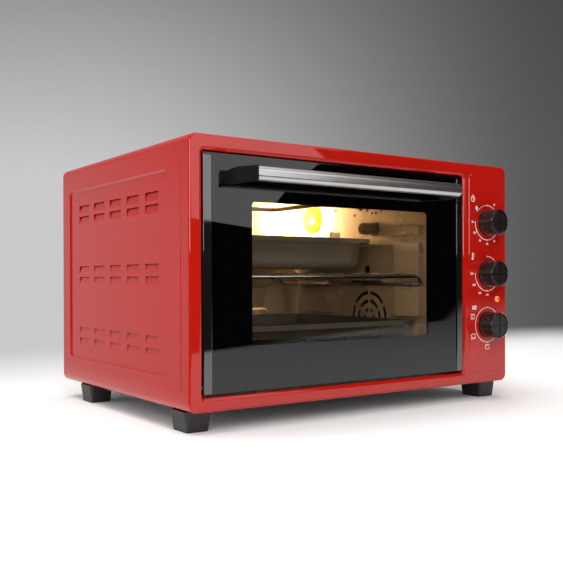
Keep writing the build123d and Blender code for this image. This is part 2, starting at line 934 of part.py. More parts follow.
with BuildPart() as thermostat_probe:
    rod_x(cavity_x1 - probe_flange_thickness, cavity_x1, probe_y, probe_z, probe_flange_radius)
    rod_x(cavity_x1 - probe_length, cavity_x1, probe_y, probe_z, probe_radius)
    fillet(thermostat_probe.faces().sort_by(Axis.X)[0].edges(), probe_radius / 3)
    rod_x(cavity_x1, cavity_x1 + terminal_outside, probe_y, probe_z, probe_radius / 2 - terminal_gap)
thermostat_probe.part.label = "thermostat_probe"
export_step(thermostat_probe.part, "parts/thermostat_probe.step")

# Convection fan: impeller in a round housing behind the grille, motor outside it

housing_x0 = cavity_x1 + sheet
housing_x1 = housing_x0 + fan_housing_depth
impeller_x0 = housing_x0 + impeller_gap
motor_x1 = housing_x1 + motor_boss_height + motor_stack
shaft_x1 = housing_x1 + fan_shaft_seat

with BuildPart() as fan_housing:
    rod_x(housing_x0, housing_x1, fan_y, fan_z, fan_housing_radius)
    rod_x(
        housing_x0, housing_x1 - sheet, fan_y, fan_z,
        fan_housing_radius - sheet, mode=Mode.SUBTRACT,
    )
    with BuildSketch(side_plane(housing_x0)):
        with Locations((fan_y, fan_z)):
            Circle(fan_housing_radius + fan_housing_lip)
            Circle(fan_housing_radius - sheet, mode=Mode.SUBTRACT)
    extrude(amount=sheet)
    block(
        housing_x0, housing_x0 + 2 * sheet, fan_y - 2 * fan_housing_radius, fan_y + 2 * fan_housing_radius,
        fan_z - 2 * fan_housing_radius, cavity_z0, mode=Mode.SUBTRACT,
    )
    rod_x(housing_x0, housing_x1, fan_y, fan_z, 2 * fan_shaft_radius, mode=Mode.SUBTRACT)
fan_housing.part.label = "fan_housing"
export_step(fan_housing.part, "parts/fan_housing.step")

with BuildPart() as fan_motor:
    rod_x(housing_x1, housing_x1 + motor_boss_height, fan_y, fan_z, motor_boss_radius)
    with BuildSketch(side_plane(housing_x1 + motor_boss_height)):
        rounded(
            fan_y - motor_width / 2, fan_y + motor_width / 2,
            fan_z - motor_height / 2, fan_z + motor_height / 2, motor_boss_height,
        )
    extrude(amount=motor_stack)
    rod_x(motor_x1, motor_x1 + motor_boss_height, fan_y, fan_z, motor_boss_radius)
    rod_x(
        housing_x1, shaft_x1 + shaft_end_gap, fan_y, fan_z,
        fan_shaft_radius + fan_shaft_fit, mode=Mode.SUBTRACT,
    )
fan_motor.part.label = "fan_motor"
export_step(fan_motor.part, "parts/fan_motor.step")

with BuildPart() as fan_impeller:
    disc_x0 = impeller_x0 + impeller_depth
    rod_x(disc_x0, disc_x0 + impeller_sheet, fan_y, fan_z, impeller_radius)
    rod_x(disc_x0 - impeller_depth / 3, shaft_x1, fan_y, fan_z, fan_shaft_radius)
    rod_x(disc_x0 - impeller_depth / 3, disc_x0, fan_y, fan_z, 2 * fan_shaft_radius)
    with BuildSketch(side_plane(impeller_x0)):
        with Locations((fan_y, fan_z)):
            with PolarLocations(impeller_radius * 0.66, blade_count):
                Rectangle(impeller_radius * 0.62, impeller_sheet * 1.4, rotation=28)
    extrude(amount=impeller_depth)
fan_impeller.part.label = "fan_impeller"
export_step(fan_impeller.part, "parts/fan_impeller.step")

# Controls: sheet bracket behind the panel, the three switch bodies and their shafts

bracket_y0 = front_y + bracket_setback
bracket_y1 = bracket_y0 + bracket_sheet
bracket_z0 = knob_levels[-1] - bracket_margin
bracket_z1 = knob_levels[0] + bracket_margin
panel_back_y = front_y + fascia_sheet - emboss_height

with BuildPart() as control_bracket:
    block(
        knob_x - bracket_width / 2, knob_x + bracket_width / 2, bracket_y0, bracket_y1,
        bracket_z0, bracket_z1,
    )
    for z in (bracket_z0, bracket_z1 - bracket_sheet):
        block(
            knob_x - bracket_width / 2, knob_x + bracket_width / 2, panel_back_y, bracket_y1,
            z, z + bracket_sheet,
        )
    with BuildSketch(front_plane(bracket_y0)):
        with Locations(*[(knob_x, z) for z in knob_levels]):
            Circle(shaft_hole_radius)
        with Locations((pilot_x, pilot_z)):
            Circle(pilot_radius + screw_gap)
    extrude(amount=-bracket_sheet, mode=Mode.SUBTRACT)
control_bracket.part.label = "control_bracket"
export_step(control_bracket.part, "parts/control_bracket.step")

shaft_y1 = bracket_y1 + shaft_seat_depth


def shaft_bore(z):
    rod_y(bracket_y1, shaft_y1 + shaft_end_gap, knob_x, z, shaft_radius + shaft_fit, mode=Mode.SUBTRACT)


with BuildPart() as timer_body:
    with BuildSketch(front_plane(bracket_y1)):
        with Locations((knob_x, knob_levels[0])):
            RectangleRounded(timer_size, timer_size, timer_size / 10)
    extrude(amount=-timer_depth)
    shaft_bore(knob_levels[0])
timer_body.part.label = "timer_body"
export_step(timer_body.part, "parts/timer_body.step")

with BuildPart() as thermostat_body:
    rod_y(bracket_y1, bracket_y1 + thermostat_depth, knob_x, knob_levels[1], thermostat_radius)
    rod_y(
        bracket_y1 + thermostat_depth, bracket_y1 + 1.4 * thermostat_depth,
        knob_x, knob_levels[1], thermostat_radius / 2,
    )
    shaft_bore(knob_levels[1])
thermostat_body.part.label = "thermostat_body"
export_step(thermostat_body.part, "parts/thermostat_body.step")

with BuildPart() as selector_body:
    with BuildSketch(front_plane(bracket_y1)):
        with Locations((knob_x, knob_levels[2])):
            RegularPolygon(selector_size / 2, 8, major_radius=False, rotation=22.5)
    extrude(amount=-selector_depth)
    shaft_bore(knob_levels[2])
selector_body.part.label = "selector_body"
export_step(selector_body.part, "parts/selector_body.step")

knob_y0 = front_y - knob_reach
knob_y1 = front_y - knob_gap


def control_shaft(z):
    with BuildPart() as shaft:
        rod_y(knob_y1 - knob_bore_depth, shaft_y1, knob_x, z, shaft_radius)
        block(
            knob_x - shaft_radius, knob_x + shaft_radius, knob_y1 - knob_bore_depth, knob_y1,
            z + shaft_flat, z + shaft_radius, mode=Mode.SUBTRACT,
        )
    return shaft


ring_outer = knob_face_radius - knob_lip - knob_rim_width
ring_inner = ring_outer - knob_ring_width


def control_knob(z):
    with BuildPart() as knob:
        with BuildSketch(Plane(origin=(knob_x, 0, z), x_dir=(1, 0, 0), z_dir=(0, 0, 1))):
            Polygon(
                (0, knob_y1),
                (knob_skirt_radius, knob_y1),
                (knob_skirt_radius, knob_y1 - knob_skirt_height),
                (knob_root_radius, knob_y1 - knob_skirt_height - knob_lip / 2),
                (knob_face_radius, knob_y0 + knob_lip),
                (ring_outer + knob_rim_width, knob_y0),
                (ring_outer, knob_y0),
                (ring_outer, knob_y0 + knob_ring_depth),
                (ring_inner, knob_y0 + knob_ring_depth),
                (ring_inner, knob_y0 + knob_lip / 2),
                (ring_inner - knob_lip, knob_y0),
                (0, knob_y0),
                align=None,
            )
        revolve(axis=Axis((knob_x, 0, z), (0, 1, 0)))
        # two crossed grooves split the face into four quarters
        for angle in (0, 90):
            with BuildSketch(front_plane(knob_y0)):
                with Locations((knob_x, z)):
                    Rectangle(2 * knob_root_radius, knob_groove_width, rotation=angle)
            extrude(amount=-knob_groove_depth, mode=Mode.SUBTRACT)
        # socket for the flatted shaft
        with BuildSketch(front_plane(knob_y1)):
            with Locations((knob_x, z)):
                Circle(shaft_radius + shaft_fit)
            with Locations((knob_x, z + shaft_flat + shaft_fit + shaft_radius)):
                Rectangle(4 * shaft_radius, 2 * shaft_radius, mode=Mode.SUBTRACT)
        extrude(amount=knob_bore_depth + shaft_fit, mode=Mode.SUBTRACT)
    return knob


for control, z in zip(("timer", "thermostat", "selector"), knob_levels):
    shaft = control_shaft(z)
    shaft.part.label = control + "_shaft"
    export_step(shaft.part, f"parts/{control}_shaft.step")
    knob = control_knob(z)
    knob.part.label = control + "_knob"
    export_step(knob.part, f"parts/{control}_knob.step")

with BuildPart() as pilot_lens:
    rod_y(front_y - knob_gap, bracket_y1 + pilot_radius, pilot_x, pilot_z, pilot_radius)
    rod_y(front_y - knob_gap - 1, front_y - knob_gap, pilot_x, pilot_z, pilot_radius)
    fillet(pilot_lens.faces().sort_by(Axis.Y)[0].edges(), pilot_radius / 3)
pilot_lens.part.label = "pilot_lens"
export_step(pilot_lens.part, "parts/pilot_lens.step")

# Door: two glasses, pressed inner frame, side trims with the hinge pins, top rail

trim_z1 = rail_z0
glass_x0 = door_x0 + glass_tuck
glass_x1 = door_x1 - glass_tuck
pan_x0 = door_x0 + trim_width
pan_x1 = door_x1 - trim_width
pan_z0 = door_z0 + pan_sill
foot_screw_z = handle_z
bracket_foot_x0 = door_x0 + bracket_foot_inset
bracket_screw_x = bracket_foot_x0 + bracket_foot_width / 2
handle_screw_places = [(bracket_screw_x, handle_z), (2 * door_xc - bracket_screw_x, handle_z)]

with BuildPart() as door_outer_glass:
    block(glass_x0, glass_x1, glass_y0, glass_y1, door_z0, rail_z0)
    with BuildSketch(front_plane(glass_y0)):
        with Locations(*handle_screw_places):
            Circle(handle_screw_radius + screw_gap)
    extrude(amount=-glass_thickness, mode=Mode.SUBTRACT)
door_outer_glass.part.label = "door_outer_glass"
export_step(door_outer_glass.part, "parts/door_outer_glass.step")

trim_y0 = front_y + trim_front_setback
trim_y1 = front_y + trim_back_setback

with BuildPart() as door_left_trim:
    block(door_x0, door_x0 + trim_width, trim_y0, trim_y1, door_z0, trim_z1)
    fillet(door_left_trim.edges().filter_by(Axis.Z).group_by(Axis.Y)[0], trim_edge_radius)
    fillet(door_left_trim.faces().sort_by(Axis.Z)[0].edges().filter_by(Axis.X), trim_edge_radius)
    block(
        glass_x0 - glass_fit, door_x0 + trim_width, glass_y0 - glass_fit, glass_y1 + glass_fit,
        door_z0, trim_z1, mode=Mode.SUBTRACT,
    )
    rod_x(
        door_x0, door_x0 + pin_seat, hinge_y, hinge_z,
        pin_radius + pin_fit, mode=Mode.SUBTRACT,
    )
door_left_trim.part.label = "door_left_trim"
export_step(door_left_trim.part, "parts/door_left_trim.step")

with BuildPart() as door_right_trim:
    mirror(door_left_trim.part, about=mirror_plane)
door_right_trim.part.label = "door_right_trim"
export_step(door_right_trim.part, "parts/door_right_trim.step")

with BuildPart() as door_top_rail:
    block(door_x0, door_x1, glass_y0, glass_y0 + rail_depth, rail_z0, door_z1)
    fillet(door_top_rail.edges().filter_by(Axis.X).group_by(Axis.Z)[-1], trim_edge_radius)
door_top_rail.part.label = "door_top_rail"
export_step(door_top_rail.part, "parts/door_top_rail.step")

with BuildPart() as door_inner_frame:
    block(pan_x0, pan_x1, glass_y1, pan_y1, pan_z0, rail_z0)
    rear_edges = door_inner_frame.faces().sort_by(Axis.Y)[-1].edges()
    lower_edge = rear_edges.sort_by(Axis.Z)[0]
    # the lower edge is rounder, so that it swings past the seal
    fillet(lower_edge, pan_sweep_radius)
    rear_edges = door_inner_frame.faces().sort_by(Axis.Y)[-1].edges().sort_by(Axis.Z)[1:]
    fillet(rear_edges, pan_edge_radius)
    offset(amount=-pan_sheet, openings=door_inner_frame.faces().sort_by(Axis.Y)[0])
    with BuildSketch(front_plane(pan_y1)):
        rounded(window_x0, window_x1, window_z0, window_z1, window_radius)
    extrude(amount=pan_sheet, mode=Mode.SUBTRACT)
door_inner_frame.part.label = "door_inner_frame"
export_step(door_inner_frame.part, "parts/door_inner_frame.step")

with BuildPart() as door_inner_glass:
    inner_y1 = pan_y1 - pan_sheet
    block(
        window_x0 - inner_glass_lap, window_x1 + inner_glass_lap,
        inner_y1 - glass_thickness, inner_y1,
        window_z0 - inner_glass_lap, window_z1 + inner_glass_lap,
    )
door_inner_glass.part.label = "door_inner_glass"
export_step(door_inner_glass.part, "parts/door_inner_glass.step")

# Handle: hollow oval tube between two curved brackets, screwed through the glass

tube_x0 = bracket_foot_x0 + bracket_run
handle_length = 2 * (door_xc - tube_x0)
tube_y0 = handle_y - handle_depth / 2
tube_y1 = handle_y + handle_depth / 2
handle_z1 = handle_z + handle_height / 2


def tube_section(margin, mode=Mode.ADD):
    height = handle_height - 2 * margin
    depth = handle_depth - 2 * margin
    with Locations((handle_y, handle_z)):
        RectangleRounded(depth, height, depth * 0.48, mode=mode)


with BuildPart() as handle_tube:
    with BuildSketch(side_plane(tube_x0)):
        tube_section(0)
        tube_section(handle_wall, mode=Mode.SUBTRACT)
    extrude(amount=handle_length)
handle_tube.part.label = "handle_tube"
export_step(handle_tube.part, "parts/handle_tube.step")

with BuildPart() as handle_left_bracket:
    with BuildSketch(level_plane(handle_z - handle_height / 2)):
        with BuildLine():
            foot_a = (bracket_foot_x0, glass_y0)
            foot_b = (bracket_foot_x0 + bracket_foot_width, glass_y0)
            Line(foot_a, foot_b)
            Line((tube_x0, tube_y1), (tube_x0, tube_y0))
            Bezier(foot_b, (foot_b[0], (glass_y0 + tube_y1) / 2), (tube_x0, tube_y1))
            Bezier((tube_x0, tube_y0), (foot_a[0] + bracket_run / 2, tube_y1), foot_a)
        make_face()
    extrude(amount=handle_height)
    outer_edges = handle_left_bracket.edges().filter_by(GeomType.BEZIER).sort_by(Axis.X)[:2]
    fillet(outer_edges, bracket_edge_radius)
    # the top slopes down towards the foot
    with BuildSketch(side_plane(bracket_foot_x0)):
        Polygon(
            (glass_y0 - bracket_slope_run, handle_z1),
            (glass_y0, handle_z1 - bracket_slope_drop),
            (glass_y0, handle_z1),
            align=None,
        )
    extrude(amount=bracket_foot_width + bracket_run, mode=Mode.SUBTRACT)
    with BuildSketch(side_plane(tube_x0)):
        tube_section(handle_wall + screw_gap)
    extrude(amount=handle_plug)
    rod_y(
        glass_y0 - handle_screw_reach, glass_y0, bracket_screw_x, handle_z,
        handle_screw_radius, mode=Mode.SUBTRACT,
    )
handle_left_bracket.part.label = "handle_left_bracket"
export_step(handle_left_bracket.part, "parts/handle_left_bracket.step")

with BuildPart() as handle_right_bracket:
    mirror(handle_left_bracket.part, about=mirror_plane)
handle_right_bracket.part.label = "handle_right_bracket"
export_step(handle_right_bracket.part, "parts/handle_right_bracket.step")

with BuildPart() as handle_screws:
    for x, z in handle_screw_places:
        rod_y(glass_y0 - handle_screw_reach, glass_y1, x, z, handle_screw_radius)
        rod_y(glass_y1, glass_y1 + screw_head_height, x, z, screw_head_radius)
handle_screws.part.label = "handle_screws"
export_step(handle_screws.part, "parts/handle_screws.step")

# Door stays: quarter-round steel strips about the hinge axis, sliding through the flange

stay_top_angle = 78.0

with BuildPart() as door_left_stay:
    with BuildSketch(side_plane(stay_x0)):
        with BuildLine():
            hinge_point = (hinge_y, hinge_z)
            sweep_angle = stay_top_angle - stay_tail_angle
            outer_arc = CenterArc(hinge_point, stay_outer, stay_tail_angle, sweep_angle)
            inner_arc = CenterArc(hinge_point, stay_inner, stay_tail_angle, sweep_angle)
            Line(outer_arc @ 0, inner_arc @ 0)
            Line(outer_arc @ 1, inner_arc @ 1)
        make_face()
    extrude(amount=stay_thickness)
    block(
        stay_x0, stay_x0 + stay_thickness, front_y, pan_y1,
        hinge_z, hinge_z + stay_outer, mode=Mode.SUBTRACT,
    )
    tab_z0 = hinge_z + sqrt(stay_inner**2 - (pan_y1 - hinge_y)**2)
    block(
        stay_x0 + stay_thickness - stay_tab_width, stay_x0 + stay_thickness,
        pan_y1, pan_y1 + stay_tab_thickness, tab_z0, tab_z0 + stay_tab_height,
    )
door_left_stay.part.label = "door_left_stay"
export_step(door_left_stay.part, "parts/door_left_stay.step")

with BuildPart() as door_right_stay:
    mirror(door_left_stay.part, about=mirror_plane)
door_right_stay.part.label = "door_right_stay"
export_step(door_right_stay.part, "parts/door_right_stay.step")

pin_x0 = left_x + pin_outer_end
pin_x1 = door_x0 + pin_seat
plate_x1 = recess_x0 - rim_thickness

with BuildPart() as hinge_pins:
    rod_x(pin_x0, pin_x1, hinge_y, hinge_z, pin_radius)
    mirror(about=mirror_plane)
hinge_pins.part.label = "hinge_pins"
export_step(hinge_pins.part, "parts/hinge_pins.step")

with BuildPart() as left_hinge_plate:
    block(
        plate_x1 - hinge_plate, plate_x1, flange_y0 - hinge_plate_width, flange_y0,
        hinge_z - hinge_plate_height / 2, hinge_z + hinge_plate_height / 2,
    )
    with BuildSketch(side_plane(plate_x1 - hinge_plate)):
        with Locations((hinge_y, hinge_z)):
            Circle(2 * pin_radius)
    extrude(amount=hinge_plate)
    rod_x(
        plate_x1 - hinge_plate, plate_x1, hinge_y, hinge_z,
        pin_radius + pin_fit, mode=Mode.SUBTRACT,
    )
left_hinge_plate.part.label = "left_hinge_plate"
export_step(left_hinge_plate.part, "parts/left_hinge_plate.step")

with BuildPart() as right_hinge_plate:
    mirror(left_hinge_plate.part, about=mirror_plane)
right_hinge_plate.part.label = "right_hinge_plate"
export_step(right_hinge_plate.part, "parts/right_hinge_plate.step")

with BuildPart() as door_springs:
    spring_x0 = plate_x1 - hinge_plate - spring_turns * spring_pitch - 2 * spring_wire_radius
    with BuildLine() as coil:
        Helix(
            pitch=spring_pitch, height=spring_turns * spring_pitch, radius=spring_radius,
            center=(spring_x0, hinge_y, hinge_z), direction=(1, 0, 0),
        )
    with BuildSketch(Plane(origin=coil.line @ 0, z_dir=coil.line % 0)):
        Circle(spring_wire_radius)
    sweep(path=coil.line, is_frenet=True)
    mirror(about=mirror_plane)
door_springs.part.label = "door_springs"
export_step(door_springs.part, "parts/door_springs.step")

# Wire rack: bent frame wire with raised cross bars, and thin bars along its depth

rail_z = base_z + ledge_middle - rest_drop + (rest_gap + rack_wire_radius) / cos(rest_slope)
bar_z = rail_z + rack_rise
rail_x1 = cavity_x1 - side_play
rack_y0 = front_y + rack_front
rack_y1 = cavity_y1 - rack_back_gap
rack_half_width = rail_x1 - rack_slope_run - rack_bar_margin - door_xc
rack_pitch = rack_half_width / rack_bar_pairs


def swept_wire(points, radius, bend):
    with BuildLine() as path:
        FilletPolyline(*points, radius=bend)
    with BuildSketch(Plane(origin=path.line @ 0, z_dir=path.line % 0)) as section:
        Circle(radius)
    sweep(section.sketch, path=path.line)


def cross_bar(y):
    slope_x0 = rail_x1 - rack_slope_run
    swept_wire(
        ((door_xc, y, bar_z), (slope_x0, y, bar_z), (rail_x1, y, rail_z + rack_wire_radius)),
        rack_bar_radius, rack_bend / 2,
    )


with BuildPart() as wire_rack:
    front_slope_x = rail_x1 - rack_slope_run
    rear_slope_x = rail_x1 - rack_rear_slope_inset
    swept_wire(
        (
            (door_xc, rack_y0, bar_z),
            (front_slope_x, rack_y0, bar_z),
            (rail_x1, rack_y0, rail_z),
            (rail_x1, rack_y1, rail_z),
            (rear_slope_x + rack_slope_run, rack_y1, rail_z),
            (rear_slope_x, rack_y1, bar_z),
            (door_xc, rack_y1, bar_z),
        ),
        rack_wire_radius, rack_bend,
    )
    for y in (front_y + rack_cross_low, front_y + rack_cross_high):
        cross_bar(y)
    mirror(about=mirror_plane)
    bar_level = bar_z + rack_wire_radius + rack_bar_radius - rack_bar_sink
    for i in range(-rack_bar_pairs, rack_bar_pairs + 1):
        outermost = abs(i) == rack_bar_pairs
        bar_end = front_y + rack_cross_high if outermost else rack_y1
        rod_y(rack_y0, bar_end, door_xc + i * rack_pitch, bar_level, rack_bar_radius)
wire_rack.part.label = "wire_rack"
export_step(wire_rack.part, "parts/wire_rack.step")

# Tins: drawn sheet trays with a turned-down rim that runs in the wall channels


def tub(x0, x1, y0, y1, z, depth, corner, taper, base_radius):
    with BuildPart() as solid:
        with BuildSketch(level_plane(z)):
            rounded(x0, x1, y0, y1, corner)
        extrude(amount=-depth, taper=taper)
        fillet(solid.faces().sort_by(Axis.Z)[0].edges(), base_radius)
    return solid.part


def tin(front, back_gap, ledge, depth, corner, rim, taper, base_radius):
    x0 = cavity_x0 + side_play
    x1 = cavity_x1 - side_play
    y0 = front_y + front
    y1 = cavity_y1 - back_gap
    rim_z0 = base_z + ledge - rest_drop + rest_gap
    rim_z1 = rim_z0 + tin_rim_height
    inset = rim + tin_sheet
    outer = tub(
        x0 + rim, x1 - rim, y0 + rim, y1 - rim, rim_z1, depth,
        corner - rim / 2, taper, base_radius,
    )
    inner = tub(
        x0 + inset, x1 - inset, y0 + inset, y1 - inset, rim_z1, depth - tin_sheet,
        corner - inset / 2, taper, base_radius - tin_sheet,
    )
    with BuildPart() as tray:
        add(outer)
        add(inner, mode=Mode.SUBTRACT)
        with BuildSketch(level_plane(rim_z1)):
            rounded(x0, x1, y0, y1, corner)
            rounded(
                x0 + inset, x1 - inset, y0 + inset, y1 - inset,
                corner - inset / 2, mode=Mode.SUBTRACT,
            )
        extrude(amount=-tin_sheet)
        with BuildSketch(level_plane(rim_z0)):
            rounded(x0, x1, y0, y1, corner)
            rounded(
                x0 + tin_sheet, x1 - tin_sheet, y0 + tin_sheet, y1 - tin_sheet,
                corner - tin_sheet, mode=Mode.SUBTRACT,
            )
        extrude(amount=tin_rim_height)
    return tray


deep_tray = tin(
    deep_tin_front, deep_tin_back_gap, ledge_high, deep_tin_depth, deep_tin_corner,
    deep_tin_rim, deep_tin_taper, deep_tin_base_radius,
)
deep_tray.part.label = "deep_tray"
export_step(deep_tray.part, "parts/deep_tray.step")

flat_tray = tin(
    flat_tin_front, flat_tin_back_gap, ledge_low, flat_tin_depth, flat_tin_corner,
    flat_tin_rim, flat_tin_taper, flat_tin_base_radius,
)
flat_tray.part.label = "flat_tray"
export_step(flat_tray.part, "parts/flat_tray.step")

# Feet: tapered square blocks, each on one screw through the base

for foot_name, (x, y) in foot_places().items():
    with BuildPart() as foot:
        with BuildSketch(level_plane(base_z)):
            with Locations((x, y)):
                RectangleRounded(foot_width, foot_length, foot_corner)
        extrude(amount=-foot_height, taper=foot_taper)
        rod_z(0, foot_bore_depth, x, y, foot_bore_radius, mode=Mode.SUBTRACT)
        rod_z(0, foot_height, x, y, foot_screw_radius + screw_gap, mode=Mode.SUBTRACT)
    foot.part.label = foot_name
    export_step(foot.part, f"parts/{foot_name}.step")

with BuildPart() as foot_screws:
    for x, y in foot_places().values():
        rod_z(foot_bore_depth - screw_head_height, foot_bore_depth, x, y, screw_head_radius)
        rod_z(foot_bore_depth, base_z + foot_screw_reach, x, y, foot_screw_radius)
foot_screws.part.label = "foot_screws"
export_step(foot_screws.part, "parts/foot_screws.step")

with BuildPart() as rear_screws:
    for x, z in rear_screw_places():
        rod_y(back_y - casing_screw_length, back_y, x, z, casing_screw_radius)
        rod_y(back_y, back_y + screw_head_height, x, z, screw_head_radius)
rear_screws.part.label = "rear_screws"
export_step(rear_screws.part, "parts/rear_screws.step")

# Cable inlet: gland clamped in the rear panel, and the terminal block on the base

with BuildPart() as cable_gland:
    gland_y0 = back_y - sheet
    rod_y(gland_y0 - sheet - gland_nut, gland_y0 + gland_reach / 2, gland_x, gland_z, gland_body_radius)
    rod_y(gland_y0, gland_y0 + gland_reach / 2, gland_x, gland_z, gland_radius)
    with BuildSketch(front_plane(gland_y0 + gland_reach / 2)):
        with Locations((gland_x, gland_z)):
            Circle(gland_radius - 1)
    extrude(amount=-(back_y + gland_reach - gland_y0 - gland_reach / 2), taper=12)
    with BuildSketch(front_plane(gland_y0 - sheet - gland_nut)):
        with Locations((gland_x, gland_z)):
            RegularPolygon(gland_flats / 2, 6, major_radius=False)
    extrude(amount=-gland_nut)
    rod_y(
        gland_y0 - sheet - gland_nut, back_y + gland_reach, gland_x, gland_z,
        gland_bore_radius, mode=Mode.SUBTRACT,
    )
cable_gland.part.label = "cable_gland"
export_step(cable_gland.part, "parts/cable_gland.step")

with BuildPart() as terminal_block:
    block_x = right_x - block_inset
    block_y = back_y - block_back_gap
    block(
        block_x - block_length / 2, block_x + block_length / 2,
        block_y - block_width / 2, block_y + block_width / 2,
        base_z + sheet, base_z + sheet + block_height,
    )
    with BuildSketch(level_plane(base_z + sheet + block_height)):
        with Locations((block_x, block_y)):
            with GridLocations(block_length / 3, block_width / 2, 3, 2):
                Circle(block_height / 6)
    extrude(amount=-block_height / 2, mode=Mode.SUBTRACT)
terminal_block.part.label = "terminal_block"
export_step(terminal_block.part, "parts/terminal_block.step")
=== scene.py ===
import math

import bmesh
import bpy
import numpy as np
from mathutils import Matrix, Vector


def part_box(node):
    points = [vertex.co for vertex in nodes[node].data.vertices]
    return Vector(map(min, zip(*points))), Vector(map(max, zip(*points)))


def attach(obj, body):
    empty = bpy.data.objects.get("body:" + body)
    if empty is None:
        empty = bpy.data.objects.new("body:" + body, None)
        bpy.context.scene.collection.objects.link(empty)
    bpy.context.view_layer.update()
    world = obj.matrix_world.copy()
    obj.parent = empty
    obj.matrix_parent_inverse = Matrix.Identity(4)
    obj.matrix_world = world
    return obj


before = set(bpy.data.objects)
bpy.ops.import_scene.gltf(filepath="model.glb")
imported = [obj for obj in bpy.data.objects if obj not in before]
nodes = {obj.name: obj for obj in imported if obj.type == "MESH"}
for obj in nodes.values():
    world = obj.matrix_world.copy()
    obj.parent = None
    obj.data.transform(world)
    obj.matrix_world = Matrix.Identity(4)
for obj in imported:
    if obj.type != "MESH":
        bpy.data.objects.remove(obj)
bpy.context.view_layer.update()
print("frame loaded,", len(nodes), "nodes")

# places are in millimetres from the casing's left side, its front face and its underside;
# the control panel's raised field stands out by fieldRise
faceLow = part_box("front_frame")[0]
fieldRise = 0.6


def at(x, y, z):
    return (faceLow[0] + x / 1000, faceLow[1] + (y + fieldRise) / 1000, faceLow[2] + z / 1000)


# camera: the place and the turn that put the casing's corners where the photograph has them
cameraValues = {
    "place": (-422.2, -778.0, 147.4),
    "azimuth": 34.99, "pitch": -0.17, "roll": -0.162,
    "lens": 51.86, "sensor": 36.0, "clip": (0.02, 30),
}


def makeCamera(values):
    azimuth, pitch, roll = (math.radians(values[k]) for k in ("azimuth", "pitch", "roll"))
    forward = Vector((
        math.sin(azimuth) * math.cos(pitch), math.cos(azimuth) * math.cos(pitch), math.sin(pitch),
    ))
    level = Vector((math.cos(azimuth), -math.sin(azimuth), 0))
    upright = level.cross(forward)
    right = level * math.cos(roll) + upright * math.sin(roll)
    up = upright * math.cos(roll) - level * math.sin(roll)
    data = bpy.data.cameras.new("camera")
    data.lens = values["lens"]
    data.sensor_width = values["sensor"]
    data.clip_start, data.clip_end = values["clip"]
    camera = bpy.data.objects.new("camera", data)
    bpy.context.collection.objects.link(camera)
    turn = Matrix((right, up, -forward)).transposed().to_4x4()
    camera.matrix_world = Matrix.Translation(Vector(at(*values["place"]))) @ turn
    bpy.context.scene.camera = camera


makeCamera(cameraValues)
print("camera placed")

# node helpers for the finishes

noiseSpan = (0.3, 0.7)  # most of a noise lies between these, so tones and roughness spread over it
noiseDetail = {"tone": 4, "rough": 5, "bump": 2, "mottle": 3}


def newMaterial(name):
    material = bpy.data.materials.new(name)
    material.use_nodes = True
    return material, material.node_tree, material.node_tree.nodes["Principled BSDF"]


def setSockets(node, values):
    for name, value in values.items():
        node.inputs[name].default_value = value


def link(tree, source, target):
    tree.links.new(source, target)


def feed(tree, value, socket):
    # a number or a colour is set on the socket itself, and an output is linked to it
    if isinstance(value, tuple):
        socket.default_value = (*value, 1)
    elif isinstance(value, (int, float)):
        socket.default_value = value
    else:
        link(tree, value, socket)


def objectPoint(tree, scale=(1, 1, 1)):
    coordinates = tree.nodes.new("ShaderNodeTexCoord")
    mapping = tree.nodes.new("ShaderNodeMapping")
    mapping.inputs["Scale"].default_value = scale
    link(tree, coordinates.outputs["Object"], mapping.inputs["Vector"])
    return mapping.outputs["Vector"]


def noise(tree, vector, scale, detail):
    node = tree.nodes.new("ShaderNodeTexNoise")
    setSockets(node, {"Scale": scale, "Detail": detail})
    link(tree, vector, node.inputs["Vector"])
    return node.outputs["Fac"]


def ramp(tree, factor, stops):
    node = tree.nodes.new("ShaderNodeValToRGB")
    elements = node.color_ramp.elements
    while len(elements) < len(stops):
        elements.new(0.5)
    for element, (position, colour) in zip(elements, stops):
        element.position = position
        element.color = (*colour, 1)
    link(tree, factor, node.inputs["Fac"])
    return node.outputs["Color"]


def twoTones(tree, factor, first, second):
    return ramp(tree, factor, list(zip(noiseSpan, (first, second))))


def spread(tree, factor, low, high, span=noiseSpan, kind="SMOOTHSTEP"):
    # carries factor from its span over to the range from low to high
    node = tree.nodes.new("ShaderNodeMapRange")
    node.interpolation_type = kind
    link(tree, factor, node.inputs["Value"])
    ends = {"From Min": span[0], "From Max": span[1], "To Min": low, "To Max": high}
    for name, value in ends.items():
        feed(tree, value, node.inputs[name])
    return node.outputs["Result"]


def arithmetic(tree, operation, first, second):
    node = tree.nodes.new("ShaderNodeMath")
    node.operation = operation
    feed(tree, first, node.inputs[0])
    feed(tree, second, node.inputs[1])
    return node.outputs["Value"]


def vectorStep(tree, operation, first, second=None):
    node = tree.nodes.new("ShaderNodeVectorMath")
    node.operation = operation
    link(tree, first, node.inputs[0])
    if second is not None:
        node.inputs[1].default_value = second
    return node.outputs["Value" if operation == "LENGTH" else "Vector"]


def acrossFace(tree, centre):
    # the way from a centre in millimetres, along the front face only
    point = vectorStep(tree, "SUBTRACT", objectPoint(tree), at(*centre))
    return vectorStep(tree, "MULTIPLY", point, (1, 0, 1))


def colourMix(tree, factor, first, second):
    node = tree.nodes.new("ShaderNodeMix")
    node.data_type = "RGBA"
    for index, value in ((0, factor), (6, first), (7, second)):  # its sockets for colours
        feed(tree, value, node.inputs[index])
    return node.outputs[2]


def shaderMix(tree, factor, first, second):
    node = tree.nodes.new("ShaderNodeMixShader")
    for socket, output in zip(node.inputs, (factor, first, second)):
        link(tree, output, socket)
    return node.outputs[0]


def emission(tree, colour, strength):
    node = tree.nodes.new("ShaderNodeEmission")
    feed(tree, colour, node.inputs["Color"])
    feed(tree, strength, node.inputs["Strength"])
    return node.outputs[0]


